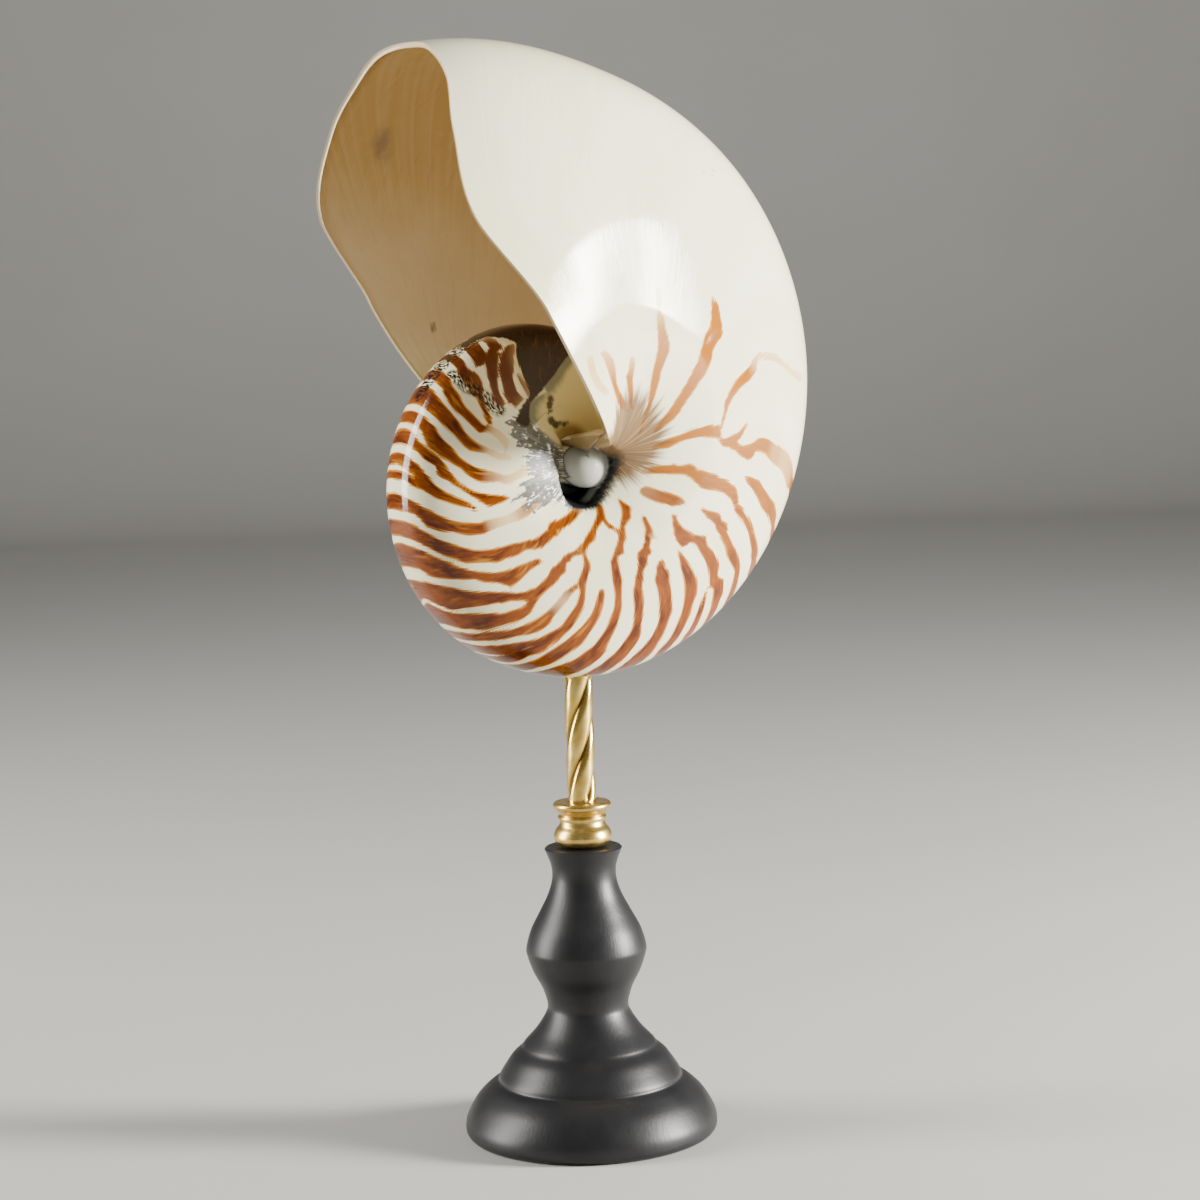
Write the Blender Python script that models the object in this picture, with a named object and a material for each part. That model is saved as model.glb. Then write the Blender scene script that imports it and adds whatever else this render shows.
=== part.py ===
"""Whole nautilus shell standing on a twisted brass stem, a brass collar and a turned black wooden base.

The origin is the centre of the base's flat underside and +Z is up. The shell's plane of symmetry is close to the
XZ plane and its aperture opens toward -X. Sizes are written in millimetres and MM turns them into metres.
"""
import math

import bmesh
import bpy
from mathutils import Euler, Vector

MM = 0.001
GAP = 0.3  # between a piece and the one it rests on or in

# Shell: a tube coiled in one plane, each turn larger than the one before by a constant ratio
LIP_RADIUS = 113.1  # from the coiling axis to the outer wall at the lip
TURN_RATIO = 3.032
LIP_ANGLE = math.radians(111.16)  # direction of the lip's outermost point, seen from the coiling axis
COIL_CENTRE = Vector((-9.83, -2.47, 190.36))
SHELL_LEAN = math.radians(2.66)
WALL = 1.5
CHAMBER_TURN = math.radians(135)  # the open body chamber, from the septum to the lip
SEPTUM_SAG = math.radians(9)
# The section of one turn, as parts of the radius at its outer wall
HALF_BREADTH = 0.389
SHOULDER = 0.40
AXIS_END = 0.02
UMBILICUS_DEPTH = 0.642
OUTER_ROUNDNESS = 1.488
FLANK_FULLNESS = 0.703
OUTER_SHARE = 0.6  # of the section's outline, outside the shoulder
# The last turn opens out a little: (degrees before the lip, part added to the radius)
FLARE = ((-120, 0.0), (-90, 0.005), (-60, 0.008), (-30, 0.003), (0, 0.031))
# The lip's edge: (part of the outline from outer wall to umbilicus, degrees of growth past the lip angle)
LIP_EDGE = ((0, -0.7), (0.07, 0.4), (0.15, 2.2), (0.25, 7.3), (0.4, 14.7), (0.55, 13.4), (0.7, 15.0),
            (0.85, 15.6), (1, 2.0))
LIP_ROUNDING = 0.5
PIT_DEPTH = 12.0  # of the umbilicus, from the plane of symmetry
# The mesh of the shell: columns from the outer wall to the umbilicus, rows along the growth
OUTER_CROWDING = 0.45  # how much closer the columns lie at the outer wall
COLUMNS = 14
INNER_COLUMNS = 12
FLOOR_COLUMNS = 11
ROW_TURN = math.radians(7.5)
CHAMBER_ROWS = 20
FLOOR_START = -2 * math.pi - CHAMBER_TURN

# Base, turned: (radius, height)
BASE_FOOT = ((33.1, 0.0), (34.5, 0.6), (35.2, 2.3), (34.7, 5.6), (31.9, 10.5), (28.4, 13.9), (25.8, 15.4))
BASE_TIER = ((25.6, 15.7), (25.2, 17.0), (23.7, 19.4), (21.6, 22.3), (19.1, 24.5))
BASE_COVE = ((18.8, 24.9), (18.0, 26.0), (14.8, 29.5), (12.0, 33.8), (11.3, 36.6), (12.6, 41.3), (15.0, 46.0),
             (16.6, 50.7), (16.7, 53.0), (15.3, 57.7), (12.8, 62.5), (10.4, 67.2), (9.1, 71.2), (8.9, 74.2),
             (9.4, 76.8), (10.6, 79.9))
BASE_RIM = ((10.8, 80.4), (10.4, 80.8))
BASE_TOP = 80.8
SOCKET_DEPTH = 16.0

# Collar, turned: (radius, height above the base)
COLLAR_FOOT = ((5.9, 0.0), (7.4, 0.8), (8.1, 2.6), (7.6, 4.5), (6.6, 5.8), (6.2, 6.9))
COLLAR_BEAD = ((6.2, 7.2), (6.7, 7.6), (6.7, 8.4), (6.3, 8.8))
COLLAR_FLANGE = ((6.5, 9.1), (7.1, 9.9), (7.9, 10.8), (8.1, 11.6), (7.6, 12.3), (6.9, 12.4))
COLLAR_HEIGHT = 12.4

# Stem: three strands twisted together, with a plain pin at each end
STEM_RADIUS = 4.0
STRANDS = 3
GROOVE_DEPTH = 0.9
GROOVE_FADE = 1.6
TWIST_PITCH = 44.5
TWIST_PHASE = math.radians(237)  # direction of a groove at the height below
TWIST_PHASE_HEIGHT = 120.6
STEM_ROWS = 20
STRAND_COLUMNS = 8
LOWER_PIN_RADIUS = 2.5
UPPER_PIN_RADIUS = 2.0
UPPER_PIN_LENGTH = 9.0
STEM_TOP_CLEARANCE = 0.5

BASE_SEGMENTS = 36
COLLAR_SEGMENTS = 28
PIN_SEGMENTS = 16


def clear_scene():
    for item in list(bpy.data.objects):
        bpy.data.objects.remove(item)


def material(name, colour, roughness, metallic=0.0):
    made = bpy.data.materials.new(name)
    made.use_nodes = True
    shader = made.node_tree.nodes["Principled BSDF"]
    shader.inputs["Base Color"].default_value = (*colour, 1.0)
    shader.inputs["Roughness"].default_value = roughness
    shader.inputs["Metallic"].default_value = metallic
    return made


def finish_object(name, mesh_data, look, sharp_degrees):
    """Closes a bmesh into a named object, smooth except at its real edges."""
    bmesh.ops.recalc_face_normals(mesh_data, faces=mesh_data.faces)
    mesh = bpy.data.meshes.new(name)
    mesh_data.to_mesh(mesh)
    mesh_data.free()
    mesh.shade_smooth()
    mesh.set_sharp_from_angle(angle=math.radians(sharp_degrees))
    mesh.materials.append(look)
    made = bpy.data.objects.new(name, mesh)
    bpy.context.scene.collection.objects.link(made)
    return made


def curve_value(points, x):
    """Height at x of a curve through the points that never overshoots between two of them."""
    last = len(points) - 1
    if x <= points[0][0]:
        return points[0][1]
    if x >= points[last][0]:
        return points[last][1]
    slopes = [(points[i + 1][1] - points[i][1]) / (points[i + 1][0] - points[i][0]) for i in range(last)]

    def tangent(i):
        if i == 0 or i == last:
            return 0.0
        before, after = slopes[i - 1], slopes[i]
        return 2 * before * after / (before + after) if before * after > 0 else 0.0

    i = max(k for k in range(last) if points[k][0] <= x)
    width = points[i + 1][0] - points[i][0]
    t = (x - points[i][0]) / width
    start, end = tangent(i) * width, tangent(i + 1) * width
    rise = points[i + 1][1] - points[i][1]
    return points[i][1] + t * (start + t * (3 * rise - 2 * start - end + t * (start + end - 2 * rise)))


def curve_through(points, steps=1):
    """A smooth line through outline points, with `steps` pieces between two of them."""
    line = []
    for i in range(len(points) - 1):
        here, there = Vector(points[i]), Vector(points[i + 1])
        before = Vector(points[i - 1]) if i > 0 else here * 2 - there
        after = Vector(points[i + 2]) if i + 2 < len(points) else there * 2 - here
        start, end = (there - before) / 2, (after - here) / 2
        for step in range(steps):
            t = step / steps
            line.append(here + start * t + (there - here) * (3 * t * t - 2 * t ** 3)
                        - start * (2 * t * t - t ** 3) - end * (t * t - t ** 3))
    line.append(Vector(points[-1]))
    return [(point.x, point.y) for point in line]


def lathe(outline, segments):
    """A turned solid from (radius, height) points that start and end on the axis, or that close on themselves."""
    turned = bmesh.new()
    rings = []
    for radius, height in outline:
        if radius == 0:
            rings.append([turned.verts.new((0, 0, height * MM))] * segments)
            continue
        turns = [2 * math.pi * i / segments for i in range(segments)]
        rings.append([turned.verts.new((radius * math.cos(a) * MM, radius * math.sin(a) * MM, height * MM))
                      for a in turns])
    pairs = list(zip(rings, rings[1:]))
    if outline[0][0] > 0:
        pairs.append((rings[-1], rings[0]))
    for lower, upper in pairs:
        join_rings(turned, lower, upper)
    return turned


def join_rings(mesh_data, lower, upper):
    """Faces between two closed rings of vertices; a ring may be one point repeated."""
    count = len(lower)
    for i in range(count):
        corners = [lower[i], lower[(i + 1) % count], upper[(i + 1) % count], upper[i]]
        add_face(mesh_data, corners)


def add_face(mesh_data, corners):
    """One face, without the corners that repeat the one before."""
    kept = [corner for i, corner in enumerate(corners) if corner is not corners[i - 1]]
    if len(kept) > 2:
        mesh_data.faces.new(kept)


def outline_share(column):
    """How far round the section's outline a column lies, from 0 at the outer wall to 1 at the umbilicus."""
    t = abs(column) / COLUMNS
    return t - OUTER_CROWDING * t * (1 - t) ** 2


def section(u):
    """(distance from the coiling axis, half breadth) of one turn's outline; u runs from outer wall to umbilicus."""
    if u < OUTER_SHARE:
        angle = u / OUTER_SHARE * math.pi / 2
        reach = SHOULDER + (1 - SHOULDER) * math.cos(angle) ** OUTER_ROUNDNESS
        return reach, HALF_BREADTH * math.sin(angle) ** FLANK_FULLNESS
    angle = (u - OUTER_SHARE) / (1 - OUTER_SHARE) * math.pi / 2
    reach = SHOULDER - (SHOULDER - AXIS_END) * math.sin(angle)
    return reach, HALF_BREADTH * (UMBILICUS_DEPTH + (1 - UMBILICUS_DEPTH) * math.cos(angle))


def turn_radius(growth):
    """Radius of the outer wall; growth is the angle grown, 0 at the lip and negative before it."""
    flare = curve_value(FLARE, math.degrees(growth))
    return LIP_RADIUS * TURN_RATIO ** (growth / (2 * math.pi)) * (1 + flare)


def coil_point(growth, reach, breadth):
    """A point of the coil in the shell's own frame, in millimetres."""
    angle = LIP_ANGLE + growth
    return Vector((reach * math.cos(angle), breadth, reach * math.sin(angle)))


def outer_point(growth, column):
    """A point on the outside; column runs from -COLUMNS at the near umbilicus to +COLUMNS at the far one."""
    reach, breadth = section(outline_share(column))
    radius = turn_radius(growth)
    return coil_point(growth, reach * radius, math.copysign(breadth, column) * radius)


def inner_point(growth, column):
    """A point on the inside of the wall, WALL under outer_point."""
    u = outline_share(column)
    radius = turn_radius(growth)
    reach, breadth = section(u)
    step = 0.01
    before, after = section(max(u - step, 0)), section(min(u + step, 1))
    along = Vector((after[0] - before[0], after[1] - before[1]))
    if u == 0:
        along = Vector((0, 1))
    inward = Vector((-along.y, along.x)).normalized() * WALL
    return coil_point(growth, reach * radius + inward.x, math.copysign(breadth * radius + inward.y, column))


def lip_growth(column):
    return math.radians(curve_value(LIP_EDGE, outline_share(column)))


def chamber_growth(row, column):
    """Growth angle of a row in the body chamber, whose last row follows the lip's edge."""
    return -CHAMBER_TURN + (lip_growth(column) + CHAMBER_TURN) * row / CHAMBER_ROWS


def columns_to(limit):
    return range(-limit, limit + 1)


def outside_rows(shell):
    """Rows of vertices on the outside, from under the septum, one turn back, to the lip."""
    rows = []
    growth = FLOOR_START
    while growth < -CHAMBER_TURN - ROW_TURN / 2:
        limit = FLOOR_COLUMNS if len(rows) < CHAMBER_ROWS else COLUMNS
        rows.append({c: shell.verts.new(outer_point(growth, c) * MM) for c in columns_to(limit)})
        growth += ROW_TURN
    for row in range(CHAMBER_ROWS + 1):
        rows.append({c: shell.verts.new(outer_point(chamber_growth(row, c), c) * MM) for c in columns_to(COLUMNS)})
    return rows


def inside_rows(shell):
    """Rows of vertices on the inside of the body chamber's wall, from the septum to the lip."""
    return [{c: shell.verts.new(inner_point(chamber_growth(row, c), c) * MM) for c in columns_to(INNER_COLUMNS)}
            for row in range(CHAMBER_ROWS + 1)]


def skin(shell, rows):
    """Faces between rows that hold the same columns, or the columns that both hold."""
    for here, there in zip(rows, rows[1:]):
        shared = sorted(set(here) & set(there))
        for left, right in zip(shared, shared[1:]):
            add_face(shell, [here[left], here[right], there[right], there[left]])


def round_lip(shell, outside, inside):
    """The lip's rounded edge, between the last outside row and the last inside row."""
    ridge = {}
    for column, vertex in inside.items():
        middle = (outside[column].co + vertex.co) / 2 / MM
        onward = coil_point(lip_growth(column), 1, 0).cross(Vector((0, 1, 0))) * -1
        ridge[column] = shell.verts.new((middle + onward * LIP_ROUNDING) * MM)
    skin(shell, [outside, ridge, inside])
    for side in (-1, 1):
        end = side * INNER_COLUMNS
        for column in range(INNER_COLUMNS, COLUMNS):
            add_face(shell, [ridge[end], outside[side * column], outside[side * (column + 1)]])
        add_face(shell, [ridge[end], outside[side * COLUMNS], inside[end]])


def close_umbilicus(shell, outside, inside, side):
    """Closes one side: the pit outside, the pillar inside the chamber and the face between them at the aperture."""
    edge = side * COLUMNS
    pillar_top = side * INNER_COLUMNS
    pillar_foot = side * FLOOR_COLUMNS
    centre = shell.verts.new(Vector((0, side * PIT_DEPTH, 0)) * MM)
    last_turn = outside[CHAMBER_ROWS:]
    for here, there in zip(last_turn, last_turn[1:]):
        add_face(shell, [here[edge], there[edge], centre])
    for row in range(CHAMBER_ROWS):
        add_face(shell, [inside[row][pillar_top], inside[row + 1][pillar_top], outside[row + 1][pillar_foot],
                         outside[row][pillar_foot]])
    front = [last_turn[-1][edge], inside[-1][pillar_top]]
    front += [last_turn[0][side * column] for column in range(FLOOR_COLUMNS, COLUMNS + 1)]
    for here, there in zip(front, front[1:]):
        add_face(shell, [centre, here, there])


def close_septum(shell, floor, wall):
    """The septum at the back of the chamber, hollowed toward the aperture, from the wall down to the floor."""
    steps = 5
    levels = [{c: wall[c] for c in columns_to(FLOOR_COLUMNS)}]
    for step in range(1, steps):
        t = step / steps
        level = {}
        for column in columns_to(FLOOR_COLUMNS):
            sag = SEPTUM_SAG * math.sin(math.pi * t) * (1 - (column / FLOOR_COLUMNS) ** 2)
            flat = wall[column].co.lerp(floor[column].co, t) / MM
            turned = Vector((flat.x, 0, flat.z))
            turned.rotate(Euler((0, sag, 0)))
            level[column] = shell.verts.new(Vector((turned.x, flat.y, turned.z)) * MM)
        levels.append(level)
    levels.append(floor)
    skin(shell, levels)
    for side in (-1, 1):
        edge = side * FLOOR_COLUMNS
        for here, there in zip(levels, levels[1:]):
            add_face(shell, [wall[side * INNER_COLUMNS], here[edge], there[edge]])


def lowest_growth():
    """Growth angle at which the outer wall of the last turn stands over the stem's axis."""
    low, high = -LIP_ANGLE - math.pi * 0.6, -LIP_ANGLE - math.pi * 0.3
    for _ in range(40):
        middle = (low + high) / 2
        if COIL_CENTRE.x + coil_point(middle, turn_radius(middle), 0).x < 0:
            low = middle
        else:
            high = middle
    return low


def shell_underside():
    growth = lowest_growth()
    return COIL_CENTRE.z + coil_point(growth, turn_radius(growth), 0).z * math.cos(SHELL_LEAN)


def pin_hole(top):
    """Cutter for the blind hole that takes the stem's upper pin."""
    depth = UPPER_PIN_LENGTH + GAP
    radius = UPPER_PIN_RADIUS + GAP
    mesh_data = lathe([(0, top - depth), (radius, top - depth), (radius, top + depth), (0, top + depth)],
                      PIN_SEGMENTS)
    cutter = finish_object("pin_hole_cutter", mesh_data, material("cutter", (0.5, 0.5, 0.5), 0.5), 40)
    cutter.hide_render = True
    cutter.display_type = "WIRE"
    return cutter


def make_shell(stem_top):
    shell = bmesh.new()
    outside = outside_rows(shell)
    inside = inside_rows(shell)
    skin(shell, outside)
    skin(shell, inside)
    round_lip(shell, outside[-1], inside[-1])
    for side in (-1, 1):
        close_umbilicus(shell, outside, inside, side)
    close_septum(shell, outside[0], inside[0])
    made = finish_object("shell", shell, material("shell", (0.86, 0.80, 0.66), 0.12), 35)
    made.location = COIL_CENTRE * MM
    made.rotation_euler = (SHELL_LEAN, 0, 0)
    drill = made.modifiers.new("pin hole", "BOOLEAN")
    drill.operation = "DIFFERENCE"
    drill.solver = "EXACT"
    drill.object = pin_hole(stem_top)
    return made


def make_stem(bottom, top):
    """Strands between the collar and the shell, then a pin down through the collar and one up into the shell."""
    stem = bmesh.new()
    ring_size = STRANDS * STRAND_COLUMNS

    def ring(height, radius_at):
        turn = TWIST_PHASE + 2 * math.pi * (height - TWIST_PHASE_HEIGHT) / TWIST_PITCH
        made = []
        for i in range(ring_size):
            angle = turn + 2 * math.pi * i / ring_size
            radius = radius_at(i / STRAND_COLUMNS % 1)
            made.append(stem.verts.new(Vector((radius * math.cos(angle), radius * math.sin(angle), height)) * MM))
        return made

    def strands(height):
        fade = min(1, (height - bottom) / GROOVE_FADE, (top - height) / GROOVE_FADE)
        return lambda t: STEM_RADIUS - GROOVE_DEPTH * fade * (1 - math.sin(math.pi * t)) ** 2

    pin_bottom = BASE_TOP - SOCKET_DEPTH + GAP
    heights = [bottom, bottom + GROOVE_FADE]
    heights += [bottom + GROOVE_FADE + (top - bottom - 2 * GROOVE_FADE) * i / STEM_ROWS
                for i in range(1, STEM_ROWS + 1)]
    heights.append(top)
    rings = [ring(height, lambda t: LOWER_PIN_RADIUS) for height in (pin_bottom, bottom)]
    rings += [ring(height, strands(height)) for height in heights]
    rings += [ring(height, lambda t: UPPER_PIN_RADIUS) for height in (top, top + UPPER_PIN_LENGTH)]
    for lower, upper in zip(rings, rings[1:]):
        join_rings(stem, lower, upper)
    stem.faces.new(rings[0])
    stem.faces.new(rings[-1])
    return finish_object("stem", stem, material("stem_brass", (0.80, 0.60, 0.24), 0.22, 1.0), 40)


def make_collar():
    bore = LOWER_PIN_RADIUS + GAP
    outline = [(bore, 0.0)]
    outline += curve_through(COLLAR_FOOT) + curve_through(COLLAR_BEAD) + curve_through(COLLAR_FLANGE)
    outline.append((bore, COLLAR_HEIGHT))
    made = finish_object("collar", lathe(outline, COLLAR_SEGMENTS),
                         material("collar_brass", (0.76, 0.55, 0.22), 0.30, 1.0), 40)
    made.location = Vector((0, 0, BASE_TOP + GAP)) * MM
    return made


def make_base():
    socket = LOWER_PIN_RADIUS + GAP
    outline = [(0, 0.0)]
    outline += curve_through(BASE_FOOT) + curve_through(BASE_TIER) + curve_through(BASE_COVE)
    outline += list(BASE_RIM)
    outline += [(socket, BASE_TOP), (socket, BASE_TOP - SOCKET_DEPTH), (0, BASE_TOP - SOCKET_DEPTH)]
    return finish_object("base", lathe(outline, BASE_SEGMENTS),
                         material("base_wood", (0.025, 0.025, 0.028), 0.48), 30)


def main():
    clear_scene()
    stem_bottom = BASE_TOP + COLLAR_HEIGHT + 2 * GAP
    stem_top = shell_underside() - STEM_TOP_CLEARANCE
    make_base()
    make_collar()
    make_stem(stem_bottom, stem_top)
    make_shell(stem_top)


main()
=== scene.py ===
"""Whole nautilus shell standing on a twisted brass stem, a brass collar and a turned black wooden base.

Sizes are written in millimetres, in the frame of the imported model, and MM turns them into metres.
"""
import math

import bpy
import numpy as np
from mathutils import Euler, Matrix, Vector


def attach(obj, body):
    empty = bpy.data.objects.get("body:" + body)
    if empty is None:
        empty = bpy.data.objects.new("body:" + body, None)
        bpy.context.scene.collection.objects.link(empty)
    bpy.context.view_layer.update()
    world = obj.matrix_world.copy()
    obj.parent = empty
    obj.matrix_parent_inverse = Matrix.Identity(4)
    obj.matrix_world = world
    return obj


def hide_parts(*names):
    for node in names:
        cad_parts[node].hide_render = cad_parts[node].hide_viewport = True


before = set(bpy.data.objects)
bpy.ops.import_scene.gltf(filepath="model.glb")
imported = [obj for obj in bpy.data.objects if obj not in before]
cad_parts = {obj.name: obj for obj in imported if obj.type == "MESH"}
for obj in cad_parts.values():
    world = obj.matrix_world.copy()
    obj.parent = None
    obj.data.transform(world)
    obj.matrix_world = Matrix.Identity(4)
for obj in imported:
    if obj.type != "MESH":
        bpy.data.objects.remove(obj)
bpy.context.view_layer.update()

MM = 0.001
GAP = 0.3

# Shell: a tube coiled in one plane, each turn larger than the one before by a constant ratio
LIP_RADIUS = 113.1
TURN_RATIO = 3.032
LIP_ANGLE = math.radians(111.16)
COIL_CENTRE = Vector((-9.83, -2.47, 190.36))
SHELL_LEAN = math.radians(2.66)
WALL = 1.5
CHAMBER_TURN = math.radians(135)
SEPTUM_SAG = math.radians(9)
HALF_BREADTH = 0.389
SHOULDER = 0.40
AXIS_END = 0.02
UMBILICUS_DEPTH = 0.642
OUTER_ROUNDNESS = 1.488
FLANK_FULLNESS = 0.703
OUTER_SHARE = 0.6
# How much wider than the spiral the last turn is: (degrees of growth, share of the radius)
FLARE = ((-120, 0.0), (-90, 0.005), (-60, 0.008), (-30, 0.003), (0, 0.031))
# Where the wavy lip ends: (part of the outline, degrees of growth)
LIP_EDGE = ((0, -0.7), (0.07, 0.4), (0.15, 2.2), (0.25, 7.3), (0.4, 14.7), (0.55, 13.4), (0.7, 15.0),
            (0.85, 15.6), (1, 2.0))
LIP_ROUNDING = 0.5
LIP_STEPS = 6
PIT_DEPTH = 12.0  # from the plane of symmetry to the umbilicus' centre
# Inside this rim (degrees of growth, part of the outline) the flank turns in to the umbilicus
RIM = ((-345, 0.82), (-290, 0.805), (-250, 0.745), (-225, 0.712), (-200, 0.726), (-180, 0.765), (-160, 0.80),
       (-140, 0.825), (-110, 0.845), (-90, 0.865), (-60, 0.895), (0, 0.90))
RIM_WIDTH = 0.055
PIT_FLOOR = 13.0  # from the plane of symmetry to the umbilicus' floor round the boss
DOME_CENTRE = Vector((1.7, 17.0, -1.5))  # the boss in the umbilicus; its Y is measured outward on each side
DOME_RADII = Vector((6.9, 6.0, 6.8))
DOME_BLEND = 0.5
MOST_BLEND = 30  # blends by which the boss stands out before it is taken as it is
# The mesh of the shell: columns from the outer wall to the umbilicus, rows along the growth
OUTER_CROWDING = 0.45
COLUMNS = 84
INNER_COLUMNS = 72
FLOOR_COLUMNS = 66
FLOOR_ROWS = 66  # on the whorl inside the chamber, as many as on the chamber's inner wall
WHORL_ROWS = 300  # from where the whorl leaves the chamber to the septum
CHAMBER_ROWS = 132
SEPTUM_STEPS = 10
SEPTUM_PART = 0.3  # parts of the outline that stand for the septum and the pillar in the material
PILLAR_PART = 0.8
PILLAR_STEPS = 4
FRONT_STEPS = 12
FLOOR_START = -2 * math.pi - CHAMBER_TURN
WHORL_START = math.radians(-345)

# Base, turned: (radius, height)
BASE_FOOT = ((33.1, 0.0), (34.5, 0.6), (35.2, 2.3), (34.7, 5.6), (31.9, 10.5), (28.4, 13.9), (25.8, 15.4))
BASE_TIER = ((25.6, 15.7), (25.2, 17.0), (23.7, 19.4), (21.6, 22.3), (19.1, 24.5))
BASE_COVE = ((18.8, 24.9), (18.0, 26.0), (14.8, 29.5), (12.0, 33.8), (11.3, 36.6), (12.6, 41.3), (15.0, 46.0),
             (16.6, 50.7), (16.7, 53.0), (15.3, 57.7), (12.8, 62.5), (10.4, 67.2), (9.1, 71.2), (8.9, 74.2),
             (9.4, 76.8), (10.6, 79.9))
BASE_RIM = ((10.8, 80.4), (10.4, 80.8))
BASE_TOP = 80.8

# Collar, turned: (radius, height above the base)
COLLAR_FOOT = ((5.9, 0.0), (7.4, 0.8), (8.1, 2.6), (7.6, 4.5), (6.6, 5.8), (6.2, 6.9))
COLLAR_BEAD = ((6.2, 7.2), (6.7, 7.6), (6.7, 8.4), (6.3, 8.8))
COLLAR_FLANGE = ((6.5, 9.1), (7.1, 9.9), (7.9, 10.8), (8.1, 11.6), (7.6, 12.3), (6.9, 12.4))
COLLAR_HEIGHT = 12.4

# Stem: three strands twisted together
STEM_RADIUS = 4.0
STRANDS = 3
GROOVE_DEPTH = 0.9
GROOVE_FADE = 1.6
TWIST_PITCH = 44.5
TWIST_PHASE = math.radians(237)
TWIST_PHASE_HEIGHT = 120.6
STEM_ROWS = 90
STRAND_COLUMNS = 30

TURNED_SEGMENTS = 128
OUTLINE_STEPS = 6
RIM_STEPS = 2
SHELL_SHARP = 40  # edges sharper than this many degrees aren't shaded smooth
TURNED_SHARP = 35
HALVINGS = 40  # of the range in which the shell's lowest point is sought

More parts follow.
